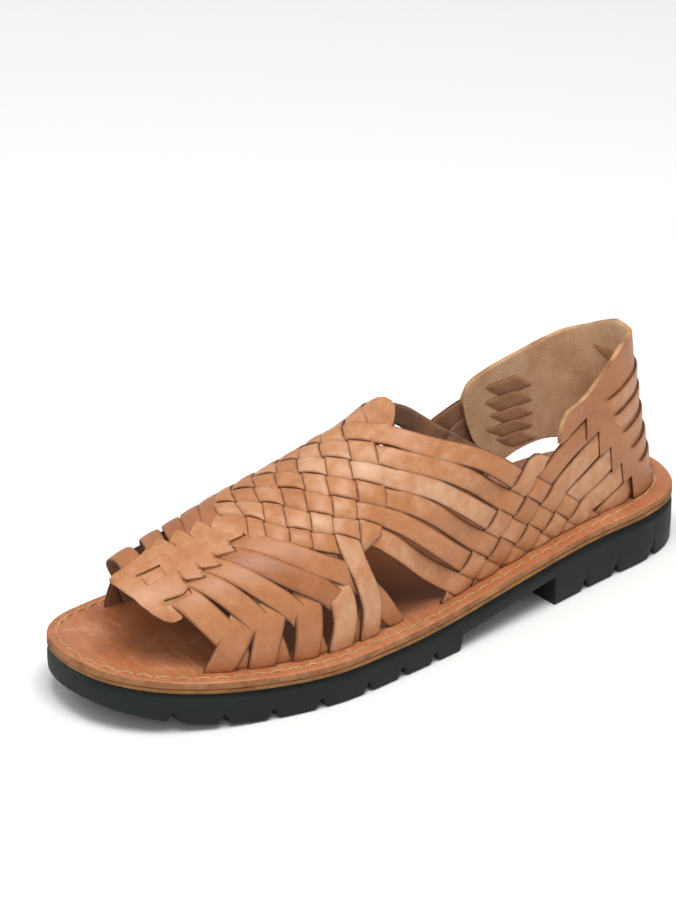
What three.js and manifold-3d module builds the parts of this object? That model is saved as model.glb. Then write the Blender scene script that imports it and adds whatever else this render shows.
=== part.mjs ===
// Left huarache sandal: a woven leather upper, a leather insole and midsole, and a moulded
// rubber outsole. Millimetres, +Z up. The toe points to -Y, the heel to +Y, and the outer side
// of the foot is +X. The floor is Z = 0, and the sole's box is centred on the origin.

import * as THREE from 'three';
import { mergeVertices } from 'three/addons/utils/BufferGeometryUtils.js';
import Module from 'manifold-3d';

const wasm = await Module();
wasm.setup();

// Driving sizes
const LENGTH = 290;              // sole, from the back of the heel to the toe
const MID_SHIFT = 2.7;           // moves the heel's axis so that the box is centred in X
const GAP = 0.3;                 // between pieces that lie on each other
const HEEL_TOP = 20.7;           // top of the rubber at the heel
const FORE_TOP = 13.3;           // top of the rubber at the forefoot
const TOE_SPRING = 7.7;          // rise of the rubber's top at the toe
const TREAD_RISE = 11;           // rise of the tread at the toe
const ROCKER_FROM = 225;         // station where the tread starts to rise
const MIDSOLE = 1.6;             // thickness of the midsole
const INSOLE = 2.8;              // thickness of the insole
const STACK = MIDSOLE + INSOLE + 2 * GAP;
const FEATHER_INSET = 9;         // inner face of the upper, in from the sole's edge
const STRIP = 2;                 // thickness of the upper's leather
const WEAVE = 0.55;              // lift of a strip that passes over, drop of one that passes under
const GROOVE = 0.35;             // depth of the grooves between woven strips
const PAD_RIM = 0.13;            // width of a groove's slope, as a part of a crossing
const FLOOR_STEPS = 29;          // steps of the cut that trims the upper just above the insole
const JOIN_LIFT = 0.75;          // lift or drop of a strip where it joins a woven wall
const ROUND = 0.87;              // roundness of the last's sections
const AXIS_SHIFT = 0.12;         // turn of the toe plate to the outer side, as a part of the girth
const HEEL_LEAN = 13;            // forward lean of the heel's back at the reference height
const LEAN_HEIGHT = 70;          // reference height of the lean, above the insole
const FOOT_DIP = 0.06;           // how far strips run on below the insole before they are trimmed
const GIRTH_DROP = 40;           // drop for each unit of girth past the feather line
const OUTLINE_STEPS = 3;         // points on the sole's outline for each row of its table
const FINE_STEPS = 16;           // the same, where the outline is only measured

// Shape of the sole along the shoe, as parts of its length
const SLOPE_FROM = 0.22;         // end of the level heel seat
const SLOPE_LONG = 0.38;         // slope down to the forefoot
const SPRING_FROM = 0.7;         // start of the toe spring

// Shape of the last
const TURN_FROM = 190;           // station where the ridge starts to turn to the outer side
const TURN_LONG = 55;
const LEAN_REACH = 75;           // station where the lean of the heel has died out
const LEAN_CURVE = 1.3;          // power of the height that the lean grows with
const HOLLOW = 5.8;              // depth of the hollow in the heel's back, at the middle of its height
const HOLLOW_FROM = -8;          // height where the hollow starts
const HOLLOW_HIGH = 100;         // and its height from there
const HOLLOW_REACH = 60;         // station where it has died out

// Weave: how strips dive under their neighbours, in parts of the girth or of a crossing
const JOIN_AT = 0.65;            // end of a strip in the first crossing of a woven wall
const BAND_LOW = 0.63;           // girth where a band leaves the last's instep for its quarter
const BAND_SETTLE = 0.15;        // girth over which a band settles after the weave
const ROOM = 0.05;               // smallest step of girth between two points of a strip
const DIVE = { from: 0.7, long: 0.14 };   // girth where the fan dives under the forefoot strips
const RISE = { from: 0.66, long: 0.14, low: -1.2, high: 0.75 };   // and where those come up over it
const TUCK = { ahead: 2, girth: 0.07, inner: 0.15, part: 0.3 };   // hidden start of a fan strip under the plate
const TAB_LIFT = 0.9;

// Sole outline: half widths to the outer and the inner side at stations from the heel
const OUTLINE = [
  { station: 6, outer: 18.5, inner: 18.5 },
  { station: 16, outer: 27, inner: 27 },
  { station: 32, outer: 32, inner: 32 },
  { station: 58, outer: 34.5, inner: 33.6 },
  { station: 87, outer: 38.3, inner: 34.3 },
  { station: 116, outer: 41.5, inner: 35.6 },
  { station: 145, outer: 44.5, inner: 38.9 },
  { station: 174, outer: 46.8, inner: 46.5 },
  { station: 203, outer: 47.6, inner: 53 },
  { station: 232, outer: 41.5, inner: 52 },
  { station: 258, outer: 32, inner: 47.5 },
  { station: 275, outer: 21, inner: 41 },
  { station: 286, outer: 7, inner: 30 },
];
const TOE_X = -11.5;

// Height of the last's ridge over the insole
const RIDGE = [
  { station: 0, rise: 170 }, { station: 60, rise: 150 }, { station: 85, rise: 125 },
  { station: 105, rise: 104 }, { station: 125, rise: 86 }, { station: 145, rise: 74 },
  { station: 165, rise: 64 }, { station: 190, rise: 54 }, { station: 219, rise: 44 },
  { station: 245, rise: 36 }, { station: 266, rise: 29 }, { station: 290, rise: 24 },
];

// Woven strips. Each one runs from the quarter of one side, over the instep, to the forefoot of
// the other. girth is 0 on the ridge and 1 at the feather line. band gives the stations of its
// middle on the way to the quarter, fore those on the way to the forefoot, at these girths.
const GIRTHS = [0, 0.12, 0.25, 0.37, 0.5, 0.63, 0.76, 0.88, 1];
const WOVEN = [
  { band: [159.6, 155, 150.3, 144.3, 135, 122.5], fore: [159.6, 163.5, 167, 169.5, 173, 177] },
  { band: [169.6, 165.2, 159, 152.8, 143, 131.5],
    fore: [169.6, 175, 179, 182.5, 186, 184.8, 182, 179.3, 176.5], foot: 11.6, shows: 0.45 },
  { band: [180.7, 175.5, 168.4, 161.5, 152.3, 141.3],
    fore: [180.7, 185.5, 189.5, 193, 195.7, 196, 194.5, 193.5, 194], foot: 10.6, shows: 0.7 },
  { band: [190.6, 185, 178.9, 171.5, 161.8, 150.8],
    fore: [190.6, 195, 199.5, 203.5, 206.2, 208.2, 209.6, 210.6, 212], foot: 10.8, shows: 0.68 },
  { band: [200, 195, 189.5, 182, 171, 160.5],
    fore: [200, 205.5, 209.5, 213.5, 218, 222.5, 226, 228.5, 230], foot: 10.8, shows: 0.62 },
  { band: [209.2, 205, 200.3, 192.8, 181, 172.3],
    fore: [209.2, 214.5, 219, 224.5, 231, 236.5, 241.5, 245.5, 249.5], foot: 11.6, shows: 0.6 },
  { band: [217, 214.4, 209.3, 202.3, 192.5, 181], fore: [217, 222, 227] },
];
const BAND_WIDTH = 8.4;

// Weave of the quarter, in mm round the heel and height over the insole: the corner between the
// first two bands and the first two heel strips, and the steps to the next band and heel strip
const QUARTER = {
  corner: [101.5, 25.5], band: [7.3, -5.8], heel: [-8.5, -7], bands: 6, heels: 5, lowest: -3.2,
};

// Fan strips, from a slit in the toe plate down to the feather line: their middles, side by side
const FAN = [
  { slit: [253, 0.318], mid: [247.5, 0.575], low: [242, 0.775], foot: 237 },
  { slit: [244.5, 0.222], mid: [235.5, 0.53], low: [228.5, 0.75], foot: 222 },
  { slit: [236.5, 0.167], mid: [225.6, 0.49], low: [214, 0.76], foot: 206 },
  { slit: [229.5, 0.143], mid: [215, 0.49], low: [199, 0.75], foot: 187 },
  { slit: [223, 0.1], mid: [204.5, 0.495], low: [189.5, 0.7], foot: 176.5 },
];

// Heel strips, from a slit of the heel counter to the weave of the quarter
const HEEL_STRIPS = [
  { slit: [62, 41], mid: [76, 35.7] },
  { slit: [55, 33], mid: [68, 27] },
  { slit: [47, 24.5], mid: [60, 18.5] },
  { slit: [41.3, 15.3], mid: [53, 10.5] },
];
const LAST_HEEL_STRIP = [[34, 7], [42, 4.2], [50, 1.3], [57, -2]];

// Heel strips of the inner side, where they lie on the counter's flap and leave an arch under it
const INNER_HEEL_STRIPS = [
  { slit: [54, 43], mid: [76, 39.5] },
  { slit: [53.5, 36.5], mid: [72, 31] },
  { slit: [54, 30], mid: [67, 25] },
  { slit: [53.5, 23.5], mid: [63, 18.8] },
];
const FLAP_LIFT = 1;             // lift of those strips on the flap
const HEEL_STRIP_WIDTH = 9.8;

// Heel counter: its collar line, and the saw-tooth edge that the heel strips come out of
const COLLAR = [
  { round: 0, top: 70.5 }, { round: 25, top: 72 }, { round: 33, top: 71 }, { round: 40, top: 68.5 },
  { round: 50, top: 63.8 }, { round: 60, top: 58.3 }, { round: 66, top: 55.3 }, { round: 72, top: 53.8 },
  { round: 77, top: 52.3 }, { round: 80, top: 48.5 }, { round: 81.5, top: 43 },
];
const HEEL_TEETH = [
  { from: 35.5, to: 42, notch: 11.5, tip: 10 },
  { from: 42, to: 49, notch: 20, tip: 17 },
  { from: 49, to: 57, notch: 29.3, tip: 27 },
  { from: 57, to: 65.3, notch: 38.5, tip: 36.2 },
  { from: 65.3, to: 81.5, notch: 47, tip: 40.5, ends: [[77, 41.7], [80, 40.9], [81.5, 40.5]] },
];
const TOOTH_STEP = 0.15;         // run of a tooth's step
const COUNTER_BACK = [0, 9, 18, 27, 35.35];   // points round the back, where the counter meets the insole
const COUNTER_LOW = -3;          // it runs on below the insole before it is trimmed

// Flap of the counter on the inner side: where it meets the insole, its lower edge from the arch to
// the front, and its collar line from the back
const FLAP_BACK = [9, 16, 21.5];
const FLAP_EDGE = [
  [24, 5], [30, 10], [40, 12], [50, 12], [59, 10.6], [66, 8.4], [70, 9], [76, 14.5], [82, 22], [86, 32],
  [88.5, 41],
];
const FLAP_COLLAR = [
  [0, 70.5], [10, 66.5], [16, 64], [25, 62], [39, 59], [56, 56.2], [69, 54], [82, 51], [86, 48.6], [88.5, 44],
];

// Raised strips across the back of the counter: end on each side and height there
const BACK_STRIPS = [
  { end: 34.5, height: 52 }, { end: 34.5, height: 43.9 }, { end: 34.5, height: 33.2 },
  { end: 33, height: 22.2 }, { end: 28, height: 12.5 },
];
const BACK_WIDTH = 8.6;
const BACK_SLOPE = 0.39;
const BACK_ROUND = 8;            // round at the middle, where the two slopes meet
const BACK_LIFT = 0.8;
const BACK_SINK = 0.6;           // drop of the lift at the ends
const SINK_CURVE = 6;

// Toe plate: half girth of its edge along the shoe, with a saw-tooth at each slit
const PLATE_EDGE = [
  { station: 217.5, inner: 0.03, outer: 0.03 }, { station: 220, inner: 0.11, outer: 0.11 },
  { station: 226.3, inner: 0.075, outer: 0.075 }, { station: 226.5, inner: 0.18, outer: 0.18 },
  { station: 234.3, inner: 0.11, outer: 0.11 }, { station: 234.5, inner: 0.22, outer: 0.22 },
  { station: 241.8, inner: 0.145, outer: 0.145 }, { station: 242, inner: 0.25, outer: 0.25 },
  { station: 249.3, inner: 0.17, outer: 0.2 }, { station: 249.5, inner: 0.2, outer: 0.34 },
  { station: 256, inner: 0.16, outer: 0.53 }, { station: 259, inner: 0.15, outer: 0.55 },
  { station: 262, inner: 0.14, outer: 0.51 }, { station: 264.5, inner: 0.13, outer: 0.44 },
  { station: 267, inner: 0.12, outer: 0.32 }, { station: 269, inner: 0.1, outer: 0.13 },
  { station: 270.3, inner: 0.09, outer: -0.02 },
];

// Rounded tab behind the instep: half widths along the ridge, in mm, and the mm of a unit of girth there
const TAB_GIRTH = 62;
const TAB = [
  { station: 164, half: 3 }, { station: 159, half: 7 }, { station: 155, half: 9.2 },
  { station: 151, half: 9.6 },
  { station: 147.5, half: 7.6 }, { station: 145, half: 4.4 }, { station: 144, half: 1.6 },
];

// Outsole details
const HEEL_BREAST = 86.5;        // station of the heel block's front
const FORE_STEP = 141.4;         // station of the forefoot block's back
const WAIST_BACK = 7.5;          // rubber left over the arch at the heel
const WAIST_FRONT = 8.7;         // and at the forefoot
const STEP_ROUND = 2.5;          // round at the top of the forefoot's step
const NOTCHES = [27.3, 49.6, 68.3, 154.6, 171.9, 189.7, 211.4, 230.8, 249.4, 266.7];
const NOTCH = { wide: 2.6, high: 4, deep: 11 };
const WAIST_STEPS = 8;
const HALF_CUT = 80;             // half width and depth of the cutting blocks, past every edge

const smooth = (t) => THREE.MathUtils.smoothstep(t, 0, 1);
const clamp = THREE.MathUtils.clamp;
const lerp = THREE.MathUtils.lerp;
const toY = (station) => LENGTH / 2 - station;

// Straight interpolation in a sorted list of [key, value] pairs
function along(pairs, key) {
  const next = pairs.findIndex((pair) => pair[0] >= key);
  if (next < 0) return pairs[pairs.length - 1][1];
  if (next === 0) return pairs[0][1];
  const [k0, v0] = pairs[next - 1];
  const [k1, v1] = pairs[next];
  return lerp(v0, v1, (key - k0) / (k1 - k0));
}

// Smooth interpolation in the same kind of list, with slopes from the neighbours
function curved(pairs, key) {
  const last = pairs.length - 1;
  const k = clamp(key, pairs[0][0], pairs[last][0]);
  const to = Math.max(pairs.findIndex((pair) => pair[0] >= k), 1);
  const from = to - 1;
  const slope = (j) => {
    const a = pairs[Math.max(j - 1, 0)];
    const b = pairs[Math.min(j + 1, last)];
    return (b[1] - a[1]) / (b[0] - a[0]);
  };
  const span = pairs[to][0] - pairs[from][0];
  const t = (k - pairs[from][0]) / span;
  const h1 = (1 + 2 * t) * (1 - t) ** 2;
  const h2 = t * (1 - t) ** 2 * span;
  const h3 = t * t * (3 - 2 * t);
  const h4 = t * t * (t - 1) * span;
  return h1 * pairs[from][1] + h2 * slope(from) + h3 * pairs[to][1] + h4 * slope(to);
}

// Heights of the sole along the shoe
function rubberTop(station) {
  const part = station / LENGTH;
  const toe = clamp((part - SPRING_FROM) / (1 - SPRING_FROM), 0, 1);
  return lerp(HEEL_TOP, FORE_TOP, smooth((part - SLOPE_FROM) / SLOPE_LONG)) + TOE_SPRING * toe * toe;
}
const insoleTop = (station) => rubberTop(station) + STACK;
const tread = (station) => TREAD_RISE * clamp((station - ROCKER_FROM) / (LENGTH - ROCKER_FROM), 0, 1) ** 2;

// Closed outline of the sole, from the heel along the outer side to the toe and back
const outlineCurve = new THREE.CatmullRomCurve3([
  new THREE.Vector3(0, 0, 0),
  ...OUTLINE.map((row) => new THREE.Vector3(row.outer, row.station, 0)),
  new THREE.Vector3(TOE_X, LENGTH, 0),
  ...OUTLINE.toReversed().map((row) => new THREE.Vector3(-row.inner, row.station, 0)),
], true, 'centripetal');
const OUTLINE_ROWS = 2 * OUTLINE.length + 2;

function outline(steps, inset) {
  const count = OUTLINE_ROWS * steps;
  return Array.from({ length: count }, (_, i) => {
    const point = outlineCurve.getPoint(i / count);
    const run = outlineCurve.getTangent(i / count);
    return new THREE.Vector2(point.x - run.y * inset, point.y + run.x * inset);
  });
}

// The last's footprint: its two sides by station, and its length round the heel
const footRing = outline(FINE_STEPS, FEATHER_INSET);
const toeIndex = footRing.reduce((best, p, i) => (p.y > footRing[best].y ? i : best), 0);
const outerFoot = footRing.slice(0, toeIndex + 1).map((p) => [p.y, p.x]);
const innerFoot = [footRing[0], ...footRing.slice(toeIndex).reverse()].map((p) => [p.y, p.x]);
function measured(side) {
  let sum = 0;
  return side.map(([station, x], i) => {
    if (i > 0) sum += Math.hypot(station - side[i - 1][0], x - side[i - 1][1]);
    return { length: sum, station, x };
  });
}
const outerRound = measured(outerFoot);
const innerRound = measured(innerFoot);
const ridgePairs = RIDGE.map((row) => [row.station, row.rise]);

// A point of the last over the instep: station along the shoe, girth from -1 (inner) to 1 (outer)
function skin(station, girth) {
  const g = clamp(girth, -1, 1);
  const turn = AXIS_SHIFT * smooth((station - TURN_FROM) / TURN_LONG);
  const angle = (g + turn * (1 - Math.abs(g))) * Math.PI / 2;
  const outer = along(outerFoot, station);
  const inner = along(innerFoot, station);
  const swing = Math.sign(angle) * Math.abs(Math.sin(angle)) ** ROUND;
  const rise = curved(ridgePairs, station) * Math.max(Math.cos(angle), 0) ** ROUND;
  const below = Math.max(Math.abs(girth) - 1, 0) * GIRTH_DROP;
  const x = (outer + inner) / 2 + (outer - inner) / 2 * swing;
  return new THREE.Vector3(x, toY(station), insoleTop(station) + rise - below);
}

// A point of the last round the heel: mm from the back (outer side positive), height over the insole
function heelSkin(round, height) {
  const ring = round >= 0 ? outerRound : innerRound;
  const far = Math.abs(round);
  const station = along(ring.map((row) => [row.length, row.station]), far);
  const edge = along(ring.map((row) => [row.length, row.x]), far);
  const mid = (along(outerFoot, station) + along(innerFoot, station)) / 2;
  const part = clamp(height / curved(ridgePairs, station), 0, 1);
  const narrow = Math.sqrt(1 - part ** (2 / ROUND)) ** ROUND;
  const lean = HEEL_LEAN * Math.max(height / LEAN_HEIGHT, 0) ** LEAN_CURVE * smooth(1 - station / LEAN_REACH);
  const bow = Math.sin(Math.PI * clamp((height - HOLLOW_FROM) / HOLLOW_HIGH, 0, 1));
  const hollow = HOLLOW * bow * smooth(1 - station / HOLLOW_REACH);
  return new THREE.Vector3(
    mid + (edge - mid) * narrow, toY(station + lean + hollow), insoleTop(station) + height);
}

// Normal of a surface function at (u, v), from small steps; both of them point out of the last
function normalAt(surface, u, v, du, dv) {
  const a = surface(u + du, v).sub(surface(u - du, v));
  const b = surface(u, v + dv).sub(surface(u, v - dv));
  return a.cross(b).normalize();
}
const STEP = 0.5;                // mm
const GIRTH_STEP = 0.01;
const GIRTH_END = 0.985;         // past it the normal stays as it is, so that the strips' feet are upright
function skinNormal(station, girth) {
  return normalAt(skin, station, clamp(girth, -GIRTH_END, GIRTH_END), STEP, GIRTH_STEP);
}
function heelNormal(round, height) {
  return normalAt(heelSkin, round, Math.max(height, 2 * STEP), STEP, STEP).negate();
}

// A closed mesh becomes a solid that can be joined and cut
function solidOf(positions, index) {
  const mesh = new wasm.Mesh({
    numProp: 3, vertProperties: new Float32Array(positions), triVerts: new Uint32Array(index),
  });
  return new wasm.Manifold(mesh);
}
function solidFrom(geometry) {
  geometry.deleteAttribute('normal');
  geometry.deleteAttribute('uv');
  const merged = mergeVertices(geometry);
  return solidOf(merged.attributes.position.array, merged.index.array);
}

// A wall of the leather's thickness on a grid of { point, normal, lift }, rows by columns
function slab(grid) {
  const rows = grid.length;
  const cols = grid[0].length;
  const positions = [];
  for (const side of [0.5, -0.5]) {
    for (const cell of grid.flat()) {
      const p = cell.point.clone().addScaledVector(cell.normal, cell.lift + side * STRIP);
      positions.push(p.x, p.y, p.z);
    }
  }
  const index = [];
  const quad = (a, b, c, d) => index.push(a, b, c, a, c, d);
  const at = (r, c, under) => (under ? rows * cols : 0) + r * cols + c;
  for (let r = 0; r + 1 < rows; r += 1) {
    for (let c = 0; c + 1 < cols; c += 1) {
      quad(at(r, c), at(r, c + 1), at(r + 1, c + 1), at(r + 1, c));
      quad(at(r, c, 1), at(r + 1, c, 1), at(r + 1, c + 1, 1), at(r, c + 1, 1));
    }
    quad(at(r, 0), at(r + 1, 0), at(r + 1, 0, 1), at(r, 0, 1));
    quad(at(r, cols - 1), at(r, cols - 1, 1), at(r + 1, cols - 1, 1), at(r + 1, cols - 1));
  }
  for (let c = 0; c + 1 < cols; c += 1) {
    quad(at(0, c), at(0, c, 1), at(0, c + 1, 1), at(0, c + 1));
    quad(at(rows - 1, c), at(rows - 1, c + 1), at(rows - 1, c + 1, 1), at(rows - 1, c, 1));
  }
  const solid = solidOf(positions, index);
  return solid.volume() > 0 ? solid : solidOf(positions, index.reverse());
}

// A strip along a row of { point, normal, lift, width }
function strip(path) {
  const grid = path.map((cell, i) => {
    const before = path[Math.max(i - 1, 0)].point;
    const after = path[Math.min(i + 1, path.length - 1)].point;
    const across = after.clone().sub(before).cross(cell.normal).normalize();
    return [-0.5, 0.5].map((side) => ({
      point: cell.point.clone().addScaledVector(across, side * cell.width),
      normal: cell.normal,
      lift: cell.lift,
    }));
  });
  return slab(grid);
}

// Station of a woven strip's middle at a girth; a number between two strips lies between them
function wovenAt(kind, number, girth) {
  const from = clamp(Math.floor(number), 1, WOVEN.length - 1);
  const [one, two] = [from, from + 1].map((n) => {
    const known = WOVEN[n - 1][kind].map((station, k) => [GIRTHS[k], station]);
    const end = known.at(-1);
    const slope = (end[1] - known.at(-2)[1]) / (end[0] - known.at(-2)[0]);
    return girth > end[0] ? end[1] + slope * (girth - end[0]) : curved(known, girth);
  });
  return lerp(one, two, number - from);
}

// Girth at which a band's number crosses a forefoot strip's number, by halving
const HALVINGS = 30;
function crossingGirth(band, fore) {
  let [low, high] = [0, 1];
  for (let k = 0; k < HALVINGS; k += 1) {
    const middle = (low + high) / 2;
    if (wovenAt('band', band, middle) > wovenAt('fore', fore, middle)) low = middle;
    else high = middle;
  }
  return low;
}

// Place in the instep's weave: i counts the strips that are bands on the outer side, j the others
function instepPlace(i, j) {
  const girth = crossingGirth(Math.max(i, j), Math.min(i, j)) * Math.sign(i - j);
  const station = wovenAt('band', Math.max(i, j), Math.abs(girth));
  return { point: skin(station, girth), normal: skinNormal(station, girth) };
}

// Place in the quarter's weave: band number i and heel strip number k
function quarterRound(i, k) {
  return [0, 1].map((axis) => QUARTER.corner[axis]
    + QUARTER.band[axis] * (i - 1.5) + QUARTER.heel[axis] * (k - 1.5));
}
function heelCell(round, height, side) {
  return { point: heelSkin(round * side, height), normal: heelNormal(round * side, height) };
}

// A woven wall: every crossing of strips i and j is a raised pad with grooves round it
function wovenWall(place, is, js, wanted) {
  const positions = [];
  const index = [];
  const known = new Map();
  const vertex = (i, j, height) => {
    const key = `${i.toFixed(3)} ${j.toFixed(3)} ${height}`;
    if (!known.has(key)) {
      const { point, normal } = place(i, j);
      const p = point.clone().addScaledVector(normal, height);
      known.set(key, positions.length / 3);
      positions.push(p.x, p.y, p.z);
    }
    return known.get(key);
  };
  const steps = [-0.5, -0.5 + PAD_RIM, 0.5 - PAD_RIM, 0.5];
  const top = (i, j, a, b) => {
    const onRim = a % 3 === 0 || b % 3 === 0;
    return vertex(i + steps[a], j + steps[b], STRIP / 2 + (onRim ? -GROOVE : WEAVE));
  };
  const under = (i, j) => vertex(i, j, -STRIP / 2);
  for (const i of is) {
    for (const j of js.filter((number) => wanted(i, number))) {
      for (let a = 0; a < 3; a += 1) {
        for (let b = 0; b < 3; b += 1) {
          const [p, q] = [top(i, j, a, b), top(i, j, a + 1, b)];
          const [r, s] = [top(i, j, a + 1, b + 1), top(i, j, a, b + 1)];
          index.push(p, q, r, p, r, s);
        }
      }
      const corners = [[-0.5, -0.5], [0.5, -0.5], [0.5, 0.5], [-0.5, 0.5]];
      const [p, q, r, s] = corners.map(([di, dj]) => under(i + di, j + dj));
      index.push(p, r, q, p, s, r);
      const rims = [
        { next: [0, -1], line: [[0, 0], [1, 0], [2, 0], [3, 0]], ends: [p, q] },
        { next: [1, 0], line: [[3, 0], [3, 1], [3, 2], [3, 3]], ends: [q, r] },
        { next: [0, 1], line: [[3, 3], [2, 3], [1, 3], [0, 3]], ends: [r, s] },
        { next: [-1, 0], line: [[0, 3], [0, 2], [0, 1], [0, 0]], ends: [s, p] },
      ];
      for (const { next, line, ends } of rims) {
        const [ni, nj] = [i + next[0], j + next[1]];
        if (is.includes(ni) && js.includes(nj) && wanted(ni, nj)) continue;
        const rim = line.map(([a, b]) => top(i, j, a, b));
        index.push(rim[0], ends[0], rim[1], rim[1], ends[0], ends[1]);
        index.push(rim[1], ends[1], rim[2], rim[2], ends[1], rim[3]);
      }
    }
  }
  const solid = solidOf(positions, index);
  return solid.volume() > 0 ? solid : solidOf(positions, index.reverse());
}

// Weave on the instep, without the two corners where the side openings start
function instepWeave() {
  const numbers = WOVEN.map((_, k) => k + 1);
  return wovenWall(instepPlace, numbers, numbers, (i, j) => Math.abs(i - j) < WOVEN.length - 1);
}

// Weave of a quarter, with the crossings that lie over the insole
function quarterWeave(side) {
  const place = (i, k) => heelCell(...quarterRound(i, k), side);
  const bands = Array.from({ length: QUARTER.bands }, (_, k) => k + 1);
  const heels = Array.from({ length: QUARTER.heels }, (_, k) => k + 1);
  const inArch = (i, k) => side < 0 && i === 1 && k === QUARTER.heels;
  return wovenWall(place, bands, heels, (i, k) => quarterRound(i, k)[1] > QUARTER.lowest && !inArch(i, k));
}

const overUnder = (number) => (number % 2 ? JOIN_LIFT : -JOIN_LIFT);

// A band, from the instep's weave to the quarter's
function band(number, side) {
  const start = crossingGirth(number, JOIN_AT);
  const girths = [start, ...GIRTHS.filter((g) => g > start + ROOM && g <= BAND_LOW)];
  const path = girths.map((g) => {
    const station = wovenAt('band', number, g);
    const lift = overUnder(number) * (1 - smooth((g - start) / BAND_SETTLE));
    return { point: skin(station, g * side), normal: skinNormal(station, g * side), width: BAND_WIDTH, lift };
  });
  for (const [heel, part] of [[0, 0], [JOIN_AT, 1]]) {
    const cell = heelCell(...quarterRound(number, heel), side);
    path.push({ ...cell, width: BAND_WIDTH, lift: -overUnder(number) * part });
  }
  return strip(path);
}

// The forefoot end of a woven strip, under one fan strip and over the next
function foreStrip(number, side) {
  const row = WOVEN[number - 1];
  const girths = [row.shows, ...GIRTHS.filter((g) => g > row.shows + ROOM), 1 + FOOT_DIP];
  return strip(girths.map((g) => {
    const station = wovenAt('fore', number, Math.min(g, 1));
    return {
      point: skin(station, g * side), normal: skinNormal(station, g * side), width: row.foot,
      lift: WEAVE * lerp(RISE.low, RISE.high, smooth((g - RISE.from) / RISE.long)),
    };
  }));
}

// Place in the fan: a strip's number, or a number between two, and the part of its way down
function fanPlace(number, part, side) {
  const tuck = (row) => (side < 0 && row === FAN[0] ? TUCK.inner : TUCK.girth);
  const from = clamp(Math.floor(number), 1, FAN.length - 1);
  const [one, two] = [FAN[from - 1], FAN[from]].map((row) => new THREE.SplineCurve([
    [row.slit[0] + TUCK.ahead, row.slit[1] - tuck(row)], row.slit, row.mid, row.low,
    [row.foot, 1], [row.foot, 1 + FOOT_DIP],
  ].map(([station, girth]) => new THREE.Vector2(station, girth))).getPoint(part));
  return one.lerp(two, number - from);
}

// The fan: its strips side by side with grooves between, over and then under the forefoot strips
function fanWall(side) {
  const columns = FAN.flatMap((_, k) => [k + 0.5, k + 0.5 + PAD_RIM, k + 1.5 - PAD_RIM]);
  const parts = [0, 0.2, 0.3, 0.4, 0.5, 0.6, 0.7, 0.8, 1];
  return slab(parts.map((part) => [...columns, FAN.length + 0.5].map((column) => {
    const place = fanPlace(column, part, side);
    const girth = place.y * side;
    const hidden = 1 - smooth(part / TUCK.part);
    const down = smooth((place.y - DIVE.from) / DIVE.long);
    const groove = column % 1 === 0.5 ? GROOVE + WEAVE : 0;
    return {
      point: skin(place.x, girth), normal: skinNormal(place.x, girth),
      lift: WEAVE * (1 - 2 * down - 2 * hidden) - groove,
    };
  })));
}

// A heel strip, out of its slit in the counter and into the quarter's weave
function heelStrip(row, number, side) {
  const knots = [row.slit, row.mid, quarterRound(JOIN_AT, number)];
  const curve = new THREE.SplineCurve(knots.map(([round, height]) => new THREE.Vector2(round, height)));
  const count = 5;
  return strip(curve.getPoints(count).map((knot, k) => ({
    ...heelCell(knot.x, knot.y, side), width: HEEL_STRIP_WIDTH,
    lift: lerp(side > 0 ? -JOIN_LIFT : FLAP_LIFT, overUnder(number), smooth(k / count)),
  })));
}
function lastHeelStrip() {
  return strip(LAST_HEEL_STRIP.map(([round, height]) => ({
    ...heelCell(round, height, 1), width: HEEL_STRIP_WIDTH, lift: -JOIN_LIFT,
  })));
}

// Toe plate on the ridge, between its saw-tooth edges
function toePlate() {
  const parts = [0, 0.17, 0.33, 0.5, 0.67, 0.83, 1];
  return slab(PLATE_EDGE.map((row) => parts.map((part) => {
    const girth = lerp(-row.inner, row.outer, part);
    return { point: skin(row.station, girth), normal: skinNormal(row.station, girth), lift: WEAVE };
  })));
}

// Rounded tab, raised off the ridge
function tab() {
  const across = [-1, -0.5, 0, 0.5, 1];
  return slab(TAB.map((row) => across.map((part) => {
    const girth = part * row.half / TAB_GIRTH;
    return { point: skin(row.station, girth), normal: skinNormal(row.station, girth), lift: TAB_LIFT };
  })));
}

// Height of the collar round the heel, on either side
function collarTop(round) {
  return curved(round < 0 ? FLAP_COLLAR : COLLAR.map((row) => [row.round, row.top]), Math.abs(round));
}

// Heel counter, from the flap of the inner side round the back to the teeth of the outer side
function heelCounter() {
  const outer = COUNTER_BACK.map((round) => [round, COUNTER_LOW]);
  for (const tooth of HEEL_TEETH) {
    outer.push([tooth.from + TOOTH_STEP, tooth.notch]);
    outer.push([(tooth.from + tooth.to) / 2, (tooth.notch + tooth.tip) / 2]);
    outer.push(...(tooth.ends || [[tooth.to - TOOTH_STEP, tooth.tip]]));
  }
  const inner = [...FLAP_BACK.map((round) => [round, COUNTER_LOW]), ...FLAP_EDGE];
  const rounds = [...inner.reverse().map(([round, low]) => [-round, low]), ...outer];
  const parts = [0, 0.33, 0.67, 1];
  return slab(rounds.map(([round, low]) => parts.map((part) => {
    const height = lerp(low, collarTop(round), part);
    return { point: heelSkin(round, height), normal: heelNormal(round, height), lift: 0 };
  })));
}

// A raised strip that rises from both ends to the back of the counter
function backStrip(row) {
  const parts = [-1, -0.78, -0.52, -0.26, 0, 0.26, 0.52, 0.78, 1];
  const cells = parts.map((part) => {
    const round = part * row.end;
    const rise = BACK_SLOPE * (row.end - Math.hypot(round, BACK_ROUND) + BACK_ROUND);
    const height = (row.height + rise) * collarTop(round) / collarTop(Math.abs(round));
    return {
      point: heelSkin(round, height), normal: heelNormal(round, height), width: BACK_WIDTH,
      lift: BACK_LIFT - BACK_SINK * part ** SINK_CURVE,
    };
  });
  return strip(cells);
}

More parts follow.
